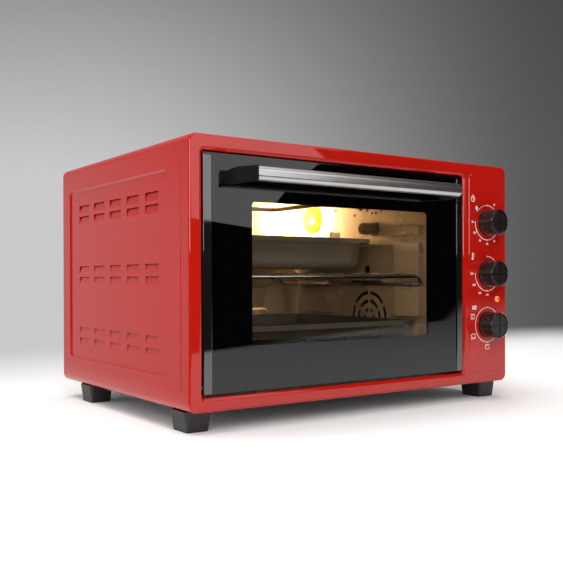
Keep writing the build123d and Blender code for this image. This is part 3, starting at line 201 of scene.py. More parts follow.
def toSurface(tree, output):
    link(tree, output, tree.nodes["Material Output"].inputs["Surface"])


# finishes: painted, moulded and metal surfaces share one function, each with its own values


def towardsMiddle(tree, below):
    # one where a side panel's face looks at the middle of the casing: normal.x times x is
    # negative; these inside faces get the painted shade
    parts = []
    facing = tree.nodes.new("ShaderNodeNewGeometry")
    for vector in (facing.outputs["Normal"], objectPoint(tree)):
        split = tree.nodes.new("ShaderNodeSeparateXYZ")
        link(tree, vector, split.inputs[0])
        parts.append(split.outputs["X"])
    return arithmetic(tree, "LESS_THAN", arithmetic(tree, "MULTIPLY", *parts), below)


def surface(name, values):
    # a broad noise varies the colour between two tones, a finer one the roughness,
    # and a third, stretched along the grain, lifts the surface
    material, tree, shader = newMaterial(name)
    grain = objectPoint(tree, values.get("grain", (1, 1, 1)))
    tone = noise(tree, objectPoint(tree), values["toneScale"], noiseDetail["tone"])
    colour = twoTones(tree, tone, values["colour"], values["colour2"])
    # a side panel's inside faces get a near-black colour: painted shade inside the casing
    if "inside" in values:
        inner = towardsMiddle(tree, values["insideBelow"])
        colour = colourMix(tree, inner, colour, values["inside"])
    link(tree, colour, shader.inputs["Base Color"])
    fine = noise(tree, grain, values["roughScale"], noiseDetail["rough"])
    link(tree, spread(tree, fine, *values["rough"]), shader.inputs["Roughness"])
    setSockets(shader, values.get("sockets", {}))
    if "bump" in values:
        height = noise(tree, grain, values["bumpScale"], noiseDetail["bump"])
        lift = tree.nodes.new("ShaderNodeBump")
        lift.inputs["Distance"].default_value = values["bump"]
        link(tree, height, lift.inputs["Height"])
        link(tree, lift.outputs["Normal"], shader.inputs["Normal"])
    return material


enamelValues = {
    "colour": (0.40, 0.0080, 0.0040), "colour2": (0.42, 0.0095, 0.0048), "toneScale": 7,
    "rough": (0.016, 0.032), "roughScale": 90,
    "bump": 0.000004, "bumpScale": 260,
    "sockets": {"IOR": 1.52},
}
finishes = {
    "redEnamel": enamelValues,
    # the side panels' inside faces are painted near black: painted shade
    "panelEnamelShadedInside": {**enamelValues, "inside": (0.010, 0.010, 0.010), "insideBelow": -0.15},
    "zincSheet": {
        "colour": (0.46, 0.47, 0.48), "colour2": (0.60, 0.61, 0.62), "toneScale": 60,
        "rough": (0.30, 0.48), "roughScale": 45,
        "bump": 0.00002, "bumpScale": 130,
        "sockets": {"Metallic": 0.9},
    },
    "cavitySteel": {
        "colour": (0.52, 0.43, 0.33), "colour2": (0.60, 0.50, 0.39), "toneScale": 14,
        "rough": (0.26, 0.29), "roughScale": 12,
        "sockets": {"Metallic": 0.45},
    },
    "blackGloss": {
        "colour": (0.001, 0.001, 0.001), "colour2": (0.003, 0.003, 0.003), "toneScale": 9,
        "rough": (0.02, 0.04), "roughScale": 160,
        "bump": 0.0000015, "bumpScale": 300,
        "sockets": {"IOR": 1.5},
    },
    "darkTrim": {
        "colour": (0.004, 0.004, 0.004), "colour2": (0.007, 0.007, 0.007), "toneScale": 9,
        "rough": (0.02, 0.04), "roughScale": 200, "grain": (1, 1, 0.1),
        "bump": 0.0000015, "bumpScale": 300,
        "sockets": {"IOR": 1.98},
    },
    "panEnamel": {
        "colour": (0.016, 0.015, 0.015), "colour2": (0.026, 0.025, 0.025), "toneScale": 30,
        "rough": (0.16, 0.30), "roughScale": 120,
        "bump": 0.00003, "bumpScale": 420,
    },
    "knobPlastic": {
        "colour": (0.011, 0.009, 0.008), "colour2": (0.016, 0.013, 0.012), "toneScale": 9,
        "rough": (0.12, 0.18), "roughScale": 300,
        "bump": 0.000006, "bumpScale": 900,
        "sockets": {"IOR": 1.42},
    },
    "bracketPlastic": {
        "colour": (0.006, 0.006, 0.006), "colour2": (0.010, 0.010, 0.010), "toneScale": 9,
        "rough": (0.30, 0.40), "roughScale": 500,
        "bump": 0.00001, "bumpScale": 1500,
        "sockets": {"IOR": 1.3},
    },
    "footRubber": {
        "colour": (0.008, 0.008, 0.008), "colour2": (0.014, 0.014, 0.014), "toneScale": 80,
        "rough": (0.38, 0.55), "roughScale": 400,
        "bump": 0.00004, "bumpScale": 1300,
    },
    "brushedSteel": {
        "colour": (0.46, 0.45, 0.445), "colour2": (0.55, 0.54, 0.53), "toneScale": 12,
        "rough": (0.23, 0.27), "roughScale": 700, "grain": (0.006, 1, 1),
        "bump": 0.0000006, "bumpScale": 1400,
        "sockets": {"Metallic": 1.0},
    },
    "screwSteel": {
        "colour": (0.58, 0.57, 0.55), "colour2": (0.70, 0.69, 0.67), "toneScale": 200,
        "rough": (0.18, 0.30), "roughScale": 600,
        "bump": 0.00001, "bumpScale": 1800,
        "sockets": {"Metallic": 1.0},
    },
    "pinSteel": {
        "colour": (0.40, 0.40, 0.40), "colour2": (0.52, 0.52, 0.52), "toneScale": 120,
        "rough": (0.28, 0.42), "roughScale": 400,
        "bump": 0.00001, "bumpScale": 1200,
        "sockets": {"Metallic": 1.0},
    },
    "chromeWire": {
        "colour": (0.60, 0.58, 0.55), "colour2": (0.74, 0.72, 0.69), "toneScale": 40,
        "rough": (0.10, 0.20), "roughScale": 180,
        "bump": 0.00001, "bumpScale": 700,
        "sockets": {"Metallic": 1.0},
    },
    "tinCoating": {
        "colour": (0.18, 0.187, 0.205), "colour2": (0.20, 0.207, 0.225), "toneScale": 22,
        "rough": (0.12, 0.18), "roughScale": 320,
        "sockets": {"Metallic": 0.5},
    },
    "flatTinEnamel": {
        "colour": (0.055, 0.058, 0.066), "colour2": (0.075, 0.08, 0.09), "toneScale": 22,
        "rough": (0.14, 0.20), "roughScale": 320,
        "sockets": {"Metallic": 0.3},
    },
    "dullSteel": {
        "colour": (0.05, 0.045, 0.04), "colour2": (0.085, 0.075, 0.065), "toneScale": 45,
        "rough": (0.45, 0.6), "roughScale": 300,
        "bump": 0.00001, "bumpScale": 600,
        "sockets": {"Metallic": 0.6},
    },
    "heaterSheath": {
        "colour": (0.10, 0.085, 0.07), "colour2": (0.20, 0.165, 0.135), "toneScale": 50,
        "rough": (0.35, 0.55), "roughScale": 300,
        "bump": 0.00003, "bumpScale": 900,
        "sockets": {"Metallic": 0.8},
    },
    "probeBronze": {
        "colour": (0.16, 0.115, 0.075), "colour2": (0.22, 0.16, 0.105), "toneScale": 60,
        "rough": (0.30, 0.42), "roughScale": 260,
        "bump": 0.000006, "bumpScale": 500,
        "sockets": {"Metallic": 0.5},
    },
    "sealRubber": {
        "colour": (0.020, 0.018, 0.017), "colour2": (0.035, 0.032, 0.030), "toneScale": 150,
        "rough": (0.55, 0.75), "roughScale": 400,
        "bump": 0.00006, "bumpScale": 1100,
    },
    "palePlastic": {
        "colour": (0.56, 0.53, 0.46), "colour2": (0.64, 0.61, 0.54), "toneScale": 70,
        "rough": (0.40, 0.55), "roughScale": 300,
        "bump": 0.00003, "bumpScale": 900,
    },
    "motorIron": {
        "colour": (0.10, 0.10, 0.11), "colour2": (0.17, 0.17, 0.18), "toneScale": 80,
        "rough": (0.45, 0.65), "roughScale": 250, "grain": (8, 1, 1),
        "bump": 0.00012, "bumpScale": 300,
        "sockets": {"Metallic": 0.7},
    },
    "fanAluminium": {
        "colour": (0.12, 0.118, 0.115), "colour2": (0.18, 0.176, 0.172), "toneScale": 60,
        "rough": (0.28, 0.42), "roughScale": 300,
        "bump": 0.00002, "bumpScale": 700,
        "sockets": {"Metallic": 1.0},
    },
    "ceramic": {
        "colour": (0.70, 0.67, 0.60), "colour2": (0.78, 0.75, 0.69), "toneScale": 90,
        "rough": (0.22, 0.35), "roughScale": 200,
        "bump": 0.00002, "bumpScale": 600,
    },
    "wallScrewDark": {
        "colour": (0.05, 0.028, 0.018), "colour2": (0.09, 0.05, 0.03), "toneScale": 200,
        "rough": (0.25, 0.4), "roughScale": 500,
        "bump": 0.000005, "bumpScale": 2000,
    },
    "printInk": {
        "colour": (0.90, 0.78, 0.74), "colour2": (0.94, 0.84, 0.80), "toneScale": 300,
        "rough": (0.35, 0.5), "roughScale": 500,
        "bump": 0.000005, "bumpScale": 2000,
    },
}
made = {name: surface(name, values) for name, values in finishes.items()}

# glass: a clear pane, and one with a printed black border round a window with round corners
paneValues = {
    "smearScale": 30, "tint": (0.965, 0.965, 0.96), "tint2": (0.985, 0.985, 0.98),
    "index": 1.4, "dim": (0.80, 0.80, 0.80), "mirrorRough": 0.0,
}
windowValues = {
    **paneValues,
    "centre": (224.0, 4.0, 153.85), "half": (141.0, 82.55), "corner": 5.0,
    "print": (0.0005, 0.0005, 0.0005), "printIndex": 1.5,
    "printRough": (0.0, 0.008), "printScale": 35,
}


def paneShader(tree, values):
    # a thin pane: what lies behind shows straight through, dimmer to the room's light,
    # under a mirror by Fresnel
    path = tree.nodes.new("ShaderNodeLightPath")
    shadow, diffuse = path.outputs["Is Shadow Ray"], path.outputs["Is Diffuse Ray"]
    clear = tree.nodes.new("ShaderNodeBsdfTransparent")
    smear = noise(tree, objectPoint(tree), values["smearScale"], noiseDetail["tone"])
    tint = twoTones(tree, smear, values["tint"], values["tint2"])
    dimmed = colourMix(tree, arithmetic(tree, "MAXIMUM", shadow, diffuse), tint, values["dim"])
    link(tree, dimmed, clear.inputs["Color"])
    mirror = tree.nodes.new("ShaderNodeBsdfGlossy")
    mirror.inputs["Roughness"].default_value = values["mirrorRough"]
    edge = tree.nodes.new("ShaderNodeFresnel")
    edge.inputs["IOR"].default_value = values["index"]
    # only the face that light enters by mirrors, because rays inside the pane are not bent
    facing = tree.nodes.new("ShaderNodeNewGeometry")
    entering = arithmetic(tree, "SUBTRACT", 1.0, facing.outputs["Backfacing"])
    share = arithmetic(tree, "MULTIPLY", edge.outputs[0], entering)
    return shaderMix(tree, share, clear.outputs[0], mirror.outputs[0])


def printedGlass(name, values):
    # distance from a rounded rectangle: the length of what lies outside a smaller rectangle,
    # less the radius
    material, tree, shader = newMaterial(name)
    setSockets(shader, {"Base Color": (*values["print"], 1), "IOR": values["printIndex"]})
    corner = values["corner"] / 1000
    across, upward = (half / 1000 - corner for half in values["half"])
    point = vectorStep(tree, "ABSOLUTE", acrossFace(tree, values["centre"]))
    point = vectorStep(tree, "SUBTRACT", point, (across, 0, upward))
    point = vectorStep(tree, "MAXIMUM", point, (0, 0, 0))
    outside = arithmetic(tree, "GREATER_THAN", vectorStep(tree, "LENGTH", point), corner)
    smear = noise(tree, objectPoint(tree), values["printScale"], noiseDetail["tone"])
    link(tree, spread(tree, smear, *values["printRough"]), shader.inputs["Roughness"])
    toSurface(tree, shaderMix(tree, outside, paneShader(tree, values), shader.outputs[0]))
    return material


def clearGlass(name, values):
    material, tree, shader = newMaterial(name)
    toSurface(tree, paneShader(tree, values))
    tree.nodes.remove(shader)
    return material


made["printedGlass"] = printedGlass("printedGlass", windowValues)
made["innerGlass"] = clearGlass("innerGlass", paneValues)

# lenses that give off light: the lamp's cover and its bulb, mottled by a noise
glowValues = {
    "lampGlass": {
        "mottle": 90, "colour": (0.20, 0.18, 0.004), "colour2": (0.26, 0.23, 0.006),
        "glow": (0.92, 0.84, 0.02), "glow2": (0.98, 0.92, 0.04), "strength": 0.95, "rough": 0.25,
    },
    "bulbGlass": {
        "mottle": 200, "colour": (1.0, 0.9, 0.7), "colour2": (1.0, 0.95, 0.8),
        "glow": (1.0, 0.85, 0.5), "glow2": (1.0, 0.9, 0.6), "strength": 4.0, "rough": 0.1,
    },
}


def glowing(name, values):
    material, tree, shader = newMaterial(name)
    mottle = noise(tree, objectPoint(tree), values["mottle"], noiseDetail["mottle"])
    for key, socket in (("colour", "Base Color"), ("glow", "Emission Color")):
        link(tree, twoTones(tree, mottle, values[key], values[key + "2"]), shader.inputs[socket])
    setSockets(shader, {"Emission Strength": values["strength"], "Roughness": values["rough"]})
    return material


for name, values in glowValues.items():
    made[name] = glowing(name, values)

# the pilot lamp's lens is coloured by the distance from its axis, as a share of its radius: over
# the lamp's own glow, a brighter ring near two thirds of the radius is a painted highlight, in its
# colour and in its glow
lensValues = {
    "centre": (499.5, 0, 118), "radius": 4.4,
    "stops": [(0.45, (0.55, 0.10, 0.03)), (0.68, (0.85, 0.36, 0.12)), (0.95, (0.80, 0.30, 0.10))],
    "glow": [
        (0.45, (0.06, 0.008, 0.002)), (0.70, (0.42, 0.14, 0.03)), (0.95, (0.30, 0.08, 0.015)),
    ],
    "strength": 1.0, "mottle": 600, "rough": (0.12, 0.24),
}


def lensWithPaintedRing(name, values):
    material, tree, shader = newMaterial(name)
    distance = vectorStep(tree, "LENGTH", acrossFace(tree, values["centre"]))
    share = arithmetic(tree, "DIVIDE", distance, values["radius"] / 1000)
    link(tree, ramp(tree, share, values["stops"]), shader.inputs["Base Color"])
    link(tree, ramp(tree, share, values["glow"]), shader.inputs["Emission Color"])
    mottle = noise(tree, objectPoint(tree), values["mottle"], noiseDetail["mottle"])
    link(tree, spread(tree, mottle, *values["rough"]), shader.inputs["Roughness"])
    setSockets(shader, {"Emission Strength": values["strength"]})
    return material


made["pilotAmber"] = lensWithPaintedRing("pilotAmber", lensValues)

finishOf = {
    "redEnamel": ["front_frame", "top_panel"],
    "panelEnamelShadedInside": ["left_side_panel", "right_side_panel"],
    "zincSheet": ["rear_panel", "base_panel", "control_bracket"],
    "cavitySteel": [
        "cavity_flange", "cavity_left_wall", "cavity_right_wall", "cavity_ceiling",
        "cavity_floor", "cavity_back_wall",
    ],
    "printedGlass": ["door_outer_glass"],
    "innerGlass": ["door_inner_glass"],
    "lampGlass": ["lamp_cover"],
    "bulbGlass": ["lamp_bulb"],
    "darkTrim": ["door_left_trim", "door_right_trim"],
    "blackGloss": ["door_top_rail"],
    "bracketPlastic": ["handle_left_bracket", "handle_right_bracket", "cable_gland"],
    "brushedSteel": ["handle_tube"],
    "panEnamel": ["door_inner_frame"],
    "knobPlastic": ["timer_knob", "thermostat_knob", "selector_knob"],
    "footRubber": ["foot_front_left", "foot_front_right", "foot_rear_left", "foot_rear_right"],
    "screwSteel": ["handle_screws", "rear_screws", "foot_screws"],
    "pinSteel": [
        "hinge_pins", "left_hinge_plate", "right_hinge_plate", "door_left_stay", "door_right_stay",
        "door_springs", "timer_shaft", "thermostat_shaft", "selector_shaft",
    ],
    "chromeWire": ["wire_rack"],
    "tinCoating": ["deep_tray"],
    "flatTinEnamel": ["flat_tray"],
    "dullSteel": ["fan_housing"],
    "heaterSheath": ["upper_heater", "lower_heater"],
    "probeBronze": ["thermostat_probe"],
    "sealRubber": ["door_seal"],
    "palePlastic": ["timer_body", "thermostat_body", "selector_body"],
    "motorIron": ["fan_motor"],
    "fanAluminium": ["fan_impeller"],
    "pilotAmber": ["pilot_lens"],
    "ceramic": ["lamp_holder", "terminal_block"],
}


def finishNode(node, material):
    thing = nodes[node]
    if not thing.material_slots:
        thing.data.materials.append(material)
    for slot in thing.material_slots:
        slot.material = material


for finish, names in finishOf.items():
    for name in names:
        finishNode(name, made[finish])
unfinished = set(nodes) - {name for names in finishOf.values() for name in names}
print("finishes set; without one:", sorted(unfinished))

# mesh helpers

mergeReach = 1e-6  # metres


def gridMesh(name, points):
    # points is (rows, columns, 3); each cell becomes a four-sided face,
    # and the last column is joined to the first
    rows, columns = points.shape[:2]
    index = np.arange(rows * columns).reshape(rows, columns)
    here, down = index[:-1], index[1:]
    faces = np.stack([here, np.roll(here, -1, 1), np.roll(down, -1, 1), down], -1).reshape(-1, 4)
    mesh = bpy.data.meshes.new(name)
    mesh.from_pydata(points.reshape(-1, 3), [], faces.tolist())
    mesh.update()
    return mesh


def joined(name, meshes):
    # each part's doubles are merged, which closes its seams and poles,
    # and its faces are turned outwards
    whole = bmesh.new()
    for mesh in meshes:
        part = bmesh.new()
        part.from_mesh(mesh)
        bmesh.ops.remove_doubles(part, verts=part.verts, dist=mergeReach)
        bmesh.ops.recalc_face_normals(part, faces=part.faces)
        part.to_mesh(mesh)
        part.free()
        whole.from_mesh(mesh)
        bpy.data.meshes.remove(mesh)
    mesh = bpy.data.meshes.new(name)
    whole.to_mesh(mesh)
    whole.free()
    return mesh


def place(name, mesh, material, smooth=True):
    thing = bpy.data.objects.new(name, mesh)
    bpy.context.collection.objects.link(thing)
    mesh.materials.append(material)
    mesh.polygons.foreach_set("use_smooth", [smooth] * len(mesh.polygons))
    return thing


def piece(name, mesh, finish, body, smooth=True):
    thing = place(name, mesh, made[finish], smooth)
    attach(thing, body)


# small screws and clips on the cavity's right wall, under its ceiling:
# depth and level of each, and its radius
wallScrewValues = {
    "wallX": 400.0, "height": 0.9, "rings": 6, "innerRing": 0.02, "steps": 20,
    "places": [
        (243.8, 256.8, 2.4), (197.0, 246.7, 2.8), (167.1, 252.4, 2.8),
        (156.2, 247.3, 2.0), (147.3, 247.5, 2.6), (135.2, 250.6, 2.4),
    ],
}


def wallScrews(values):
    # each head is a dome, height times (1 - share squared) over a disc, with share running from
    # the pole to the rim, and then back along the wall to close it
    share = np.linspace(values["innerRing"], 1, values["rings"])
    share = np.concatenate([[0], share, [0]])[:, None]
    lift = values["height"] * (1 - share ** 2)
    lift[-1] = 0
    turn = np.linspace(0, 2 * math.pi, values["steps"], endpoint=False)
    heads = []
    for y, z, radius in values["places"]:
        depth = y + radius * share * np.cos(turn)
        level = z + radius * share * np.sin(turn)
        points = np.stack(at(values["wallX"] - lift + 0 * turn, depth, level), -1)
        heads.append(gridMesh("screwHead", points))
    return joined("wallScrews", heads)


piece("wallScrews", wallScrews(wallScrewValues), "wallScrewDark", "housing")
print("wall screws made")

# dial prints: thin plates of ink on the raised field, joined to one piece
printValues = {
    "knobX": 479.0, "levels": {"timer": 226.7, "thermostat": 154.2, "selector": 81.7},
    "ring": 24.5, "ringEnd": 270, "line": 0.75, "dot": 1.0, "tick": 2.2,
    "ink": 0.05, "sink": 0.02,
    "numbers": 30.0, "digits": 4.1, "bold": 0.06, "curveSteps": 3,
    "longNumber": {"from": 200, "shift": 1.6},
    "timerNumbers": {
        30: "10", 60: "20", 90: "30", 120: "40", 150: "50",
        180: "60", 210: "70", 240: "80", 270: "90",
    },
    "timerDots": {"size": 0.75, "stops": (-10, -20, -30, -40)},
    "thermostatNumbers": {60: "50", 120: "75", 180: "100", 210: "150", 240: "200", 270: "250"},
    "selectorStops": (0, 60, 120, 180, 240, 300),
}
# the selector's symbols: each baking space's place, and its heating bars at shares of its height
boxValues = {
    "half": (3.7, 3.2), "line": 0.65, "barLength": 4.0,
    "boxes": [
        (449.2, 94.0, (-0.5, 0.5)), (450.0, 66.2, (-0.5,)), (479.0, 50.6, (0.5,)),
        (509.0, 94.0, (0.0,)), (509.0, 66.2, (-0.5, 0.0, 0.5)),
    ],
}
# pictograms beside the scales, each from rings (x, z, radius, width), discs (x, z, radius)
# and bars (x, z, width, height, clock)
pictograms = {
    "bell": {
        "discs": [(457.6, 246.2, 2.5), (458.4, 243.0, 1.0), (456.6, 248.9, 0.9)],
        "bars": [(457.6, 244.4, 6.4, 1.5, 24)],
    },
    "clock": {
        "rings": [(450.0, 259.0, 3.6, 0.9)],
        "bars": [
            (450.0, 260.2, 0.8, 2.6, 0), (451.0, 259.0, 2.4, 0.8, 0), (450.0, 264.0, 2.0, 1.2, 0),
        ],
    },
    "thermometer": {
        "discs": [(448.9, 175.6, 1.9)],
        "bars": [
            (448.9, 179.6, 1.5, 8.0, 0), (451.6, 178.2, 2.0, 0.7, 0),
            (451.6, 180.2, 2.0, 0.7, 0), (451.6, 182.2, 2.0, 0.7, 0),
        ],
    },
    "loaf": {
        "discs": [(449.7, 107.4, 1.9), (452.3, 107.4, 1.9), (454.9, 107.4, 1.9)],
        "bars": [(452.3, 105.4, 8.4, 2.6, 0)],
    },
}
arcStep = 4  # degrees
discSides = 20


def dialPoint(centre, radius, clock):
    # clock is the angle from twelve o'clock, growing clockwise
    turn = np.radians(clock)
    return centre[0] + radius * np.sin(turn), centre[1] + radius * np.cos(turn)


def arcBand(centre, radius, width, start, end):
    # the outer edge at radius plus half the width, then back along radius less half the width
    turn = np.linspace(start, end, max(3, int(abs(end - start) / arcStep)))
    outer = np.stack(dialPoint(centre, radius + width / 2, turn), -1)
    inner = np.stack(dialPoint(centre, radius - width / 2, turn[::-1]), -1)
    return np.concatenate([outer, inner])


def wholeRing(centre, radius, width):
    return [arcBand(centre, radius, width, start, start + 180) for start in (0, 180)]


def disc(x, z, radius):
    # points on a circle, clockwise from its top
    turn = np.linspace(0, 2 * math.pi, discSides, endpoint=False)
    return np.stack([x + radius * np.sin(turn), z + radius * np.cos(turn)], -1)


def bar(x, z, width, height, clock=0):
    # a rectangle round (x, z), turned clockwise by the angle clock
    turn = math.radians(clock)
    a, b = width / 2, height / 2
    corners = np.array([(-a, -b), (-a, b), (a, b), (a, -b)])
    across = corners[:, 0] * math.cos(turn) + corners[:, 1] * math.sin(turn)
    upward = -corners[:, 0] * math.sin(turn) + corners[:, 1] * math.cos(turn)
    return np.stack([x + across, z + upward], -1)


def inkPlate(outline, values):
    # the clockwise outline at two depths: an ink thickness off the enamel, and just inside it
    count = len(outline)
    x, z = np.tile(outline, (2, 1)).T
    y = np.repeat([-fieldRise - values["ink"], -fieldRise + values["sink"]], count)
    ring = np.arange(count)
    after = np.roll(ring, -1)
    sides = np.stack([ring, after, after + count, ring + count], -1).tolist()
    faces = [ring[::-1].tolist(), (ring + count).tolist()] + sides
    mesh = bpy.data.meshes.new("ink")
    mesh.from_pydata(np.stack(at(x, y, z), -1), [], faces)
    return mesh


def inkNumber(text, x, z, values):
    curve = bpy.data.curves.new("digits", "FONT")
    curve.body = text
    curve.align_x = "CENTER"
    curve.align_y = "CENTER"
    curve.size = values["digits"] / 1000
    curve.extrude = values["ink"] / 2000
    curve.offset = values["bold"] / 1000
    curve.resolution_u = values["curveSteps"]
    thing = bpy.data.objects.new("digits", curve)
    mesh = bpy.data.meshes.new_from_object(thing)
    bpy.data.objects.remove(thing)
    bpy.data.curves.remove(curve)
    upright = Matrix.Rotation(math.pi / 2, 4, "X")
    mesh.transform(Matrix.Translation(Vector(at(x, -fieldRise - values["ink"] / 2, z))) @ upright)
    return mesh


def boxIcon(x, z, heaters, values):
    # an outlined rectangle for the baking space with its heating bars inside
    (across, upward), line = values["half"], values["line"]
    parts = [bar(x, z + side * upward, 2 * across + line, line) for side in (-1, 1)]
    parts += [bar(x + side * across, z, line, 2 * upward - line) for side in (-1, 1)]
    return parts + [bar(x, z + share * upward, values["barLength"], line) for share in heaters]


def pictogram(parts):
    plates = [disc(*values) for values in parts.get("discs", [])]
    for x, z, radius, width in parts.get("rings", []):
        plates += wholeRing((x, z), radius, width)
    return plates + [bar(*values) for values in parts["bars"]]


def dialPrints(values):
    timer, thermostat, selector = ((values["knobX"], z) for z in values["levels"].values())
    scales = ((timer, values["timerNumbers"]), (thermostat, values["thermostatNumbers"]))
    ring, line = values["ring"], values["line"]
    plates, numbers = wholeRing(selector, ring, line), []
    for centre, texts in scales:
        plates += [arcBand(centre, ring, line, 0, values["ringEnd"])]
        plates += [disc(*dialPoint(centre, ring, 0), values["dot"])]
        for clock in texts:
            plates.append(bar(*dialPoint(centre, ring, clock), line, values["tick"], clock))
        for clock, text in texts.items():
            long = len(text) == 3 and clock > values["longNumber"]["from"]
            reach = values["numbers"] + (values["longNumber"]["shift"] if long else 0)
            numbers.append(inkNumber(text, *dialPoint(centre, reach, clock), values))
    dots = values["timerDots"]
    plates += [disc(*dialPoint(timer, ring, clock), dots["size"]) for clock in dots["stops"]]
    for clock in values["selectorStops"]:
        plates.append(disc(*dialPoint(selector, ring, clock), values["dot"]))
    for box in boxValues["boxes"]:
        plates += boxIcon(*box, boxValues)
    for parts in pictograms.values():
        plates += pictogram(parts)
    return joined("dialPrints", [inkPlate(outline, values) for outline in plates] + numbers)


prints = dialPrints(printValues)
piece("dialPrints", prints, "printInk", "housing", smooth=False)
print("dial prints made")

# studio: a floor that sweeps up into a round wall; across, depth and height are metres seen along
# the main view, and the wall's tones fall off from its pale left to its dark right
studioValues = {
    "radius": 2.9, "sweep": 0.45, "height": 3.2, "steps": 96, "sweepSteps": 14, "floorSteps": 12,
    "centreHole": 0.001,
    "lens": (-0.0095, -1.176, 0.171), "nearest": 0.3,
    "wallLow": {"tones": (0.588, 0.095), "span": (-0.28, 0.36)},
    "wallHigh": {"tones": (0.318, 0.067), "span": (-0.32, 0.40)},
    "wallRise": (0.13, 0.34),
    "mirroredDark": 0.01, "mirroredFront": (-0.5, 0.3),
    "floorColour": (0.86, 0.85, 0.845), "fibreShade": 0.985, "fibreScale": 900,
    "floorSides": (-0.337, 0.323), "blendStart": (-0.45, 0.95), "blendEnd": (0.9, 1.85),
    "besideX": (-0.45, -0.27), "sweepZ": (0.002, 0.10),
    "darkFloor": 0.012, "darkTowards": (-0.4075, -0.913), "darkSpan": (0.83, 0.90),
    "fill": 0.35,
}


def studioMesh(values):
    # a profile of floor, quarter circle and wall, turned once round the upright axis
    radius, sweep = values["radius"], values["sweep"]
    arc = np.linspace(0, math.pi / 2, values["sweepSteps"])
    floor = np.linspace(values["centreHole"], radius - sweep, values["floorSteps"])
    reach = np.concatenate([floor, radius - sweep + sweep * np.sin(arc), [radius]])
    rise = np.concatenate([0 * floor, sweep - sweep * np.cos(arc), [values["height"]]])
    turn = np.linspace(0, 2 * math.pi, values["steps"], endpoint=False)
    rows = reach[:, None]
    return gridMesh("studio", np.stack(
        [rows * np.sin(turn), rows * np.cos(turn), rise[:, None] + 0 * turn], -1))


def studioMaterial(values):
    material, tree, shader = newMaterial("studioPaper")
    path = tree.nodes.new("ShaderNodeLightPath").outputs
    split = tree.nodes.new("ShaderNodeSeparateXYZ")
    link(tree, objectPoint(tree), split.inputs[0])
    x, y, z = split.outputs

    def calc(operation, first, second):
        return arithmetic(tree, operation, first, second)

    def along(first, second, less):
        total = calc("ADD", calc("MULTIPLY", x, first), calc("MULTIPLY", y, second))
        return calc("SUBTRACT", total, less)

    # depth runs along the main view; aside and rise are shares of the distance from its lens
    azimuth = math.radians(cameraValues["azimuth"])
    lensAcross, lensDepth, lensHeight = values["lens"]
    depth = along(math.sin(azimuth), math.cos(azimuth), 0)
    ahead = along(math.sin(azimuth), math.cos(azimuth), lensDepth)
    ahead = calc("MAXIMUM", ahead, values["nearest"])
    aside = calc("DIVIDE", along(math.cos(azimuth), -math.sin(azimuth), lensAcross), ahead)
    rise = calc("DIVIDE", calc("SUBTRACT", z, lensHeight), ahead)
    mirrored = calc("MAXIMUM", path["Is Glossy Ray"], path["Is Transmission Ray"])

    # wall: a smooth fall from the left tone to the right one, low down and high up,
    # mixed by the rise
    low, high = (
        spread(tree, aside, *values[k]["tones"], values[k]["span"])
        for k in ("wallLow", "wallHigh")
    )
    wall = colourMix(tree, spread(tree, rise, 0.0, 1.0, values["wallRise"], "LINEAR"), low, high)
    # the front half of the room is dark to reflections
    behind = spread(tree, y, 0.0, 1.0, values["mirroredFront"])
    shine = colourMix(tree, behind, (values["mirroredDark"],) * 3, wall)
    seen = colourMix(tree, mirrored, wall, shine)
    seen = colourMix(tree, path["Is Diffuse Ray"], seen, (values["fill"],) * 3)
    wallGlow = emission(tree, seen, 1.0)

    # floor: matt paper, dark to reflections far out in front
    matt = tree.nodes.new("ShaderNodeBsdfDiffuse")
    fibre = noise(tree, objectPoint(tree), values["fibreScale"], noiseDetail["mottle"])
    tone = values["floorColour"]
    shade = tuple(values["fibreShade"] * channel for channel in tone)
    link(tree, twoTones(tree, fibre, shade, tone), matt.inputs["Color"])
    far = spread(tree, along(*values["darkTowards"], 0), 0.0, 1.0, values["darkSpan"])
    dark = emission(tree, (values["darkFloor"],) * 3, 1.0)
    floor = shaderMix(tree, calc("MULTIPLY", mirrored, far), matt.outputs[0], dark)

    # it passes into the wall's tone with the depth, sooner on the left, and up the sweep;
    # what the casing's left side mirrors has the wall's tone throughout
    start, end = (
        spread(tree, aside, *values[k], values["floorSides"], "LINEAR")
        for k in ("blendStart", "blendEnd")
    )
    direct = calc("MAXIMUM", path["Is Camera Ray"], mirrored)
    blend = calc("MULTIPLY", spread(tree, depth, 0.0, 1.0, (start, end)), direct)
    beside = calc("MULTIPLY", spread(tree, x, 1.0, 0.0, values["besideX"]), mirrored)
    blend = calc("MAXIMUM", blend, beside)
    blend = calc("MAXIMUM", blend, spread(tree, z, 0.0, 1.0, values["sweepZ"]))
    toSurface(tree, shaderMix(tree, blend, floor, wallGlow))
    tree.nodes.remove(shader)
    return material


studio = place("studio", studioMesh(studioValues), studioMaterial(studioValues))
print("studio built")

lamps = {
    "topLamp": {
        "at": (-0.3, 0.2, 2.4), "to": (0, 0, 0),
        "size": (2.2, 2.2), "power": 72, "colour": (1, 0.99, 0.98),
    },
    "frontLamp": {
        "at": (-0.9, -1.7, 1.3), "to": (0, 0, 0.15),
        "size": (1.4, 1.2), "power": 28, "colour": (1, 1, 1),
    },
    "leftLamp": {
        "at": (-1.8, 0.5, 0.9), "to": (0, 0, 0.15),
        "size": (1.2, 1.0), "power": 6, "colour": (1, 1, 1),
    },
}


def lampData(name, kind, values):
    data = bpy.data.lights.new(name, kind)
    if kind == "AREA":
        data.shape = "RECTANGLE"
        data.size, data.size_y = values["size"]
    else:
        data.shadow_soft_size = values["soft"]
    data.energy = values["power"]
    data.color = values["colour"]
    return data


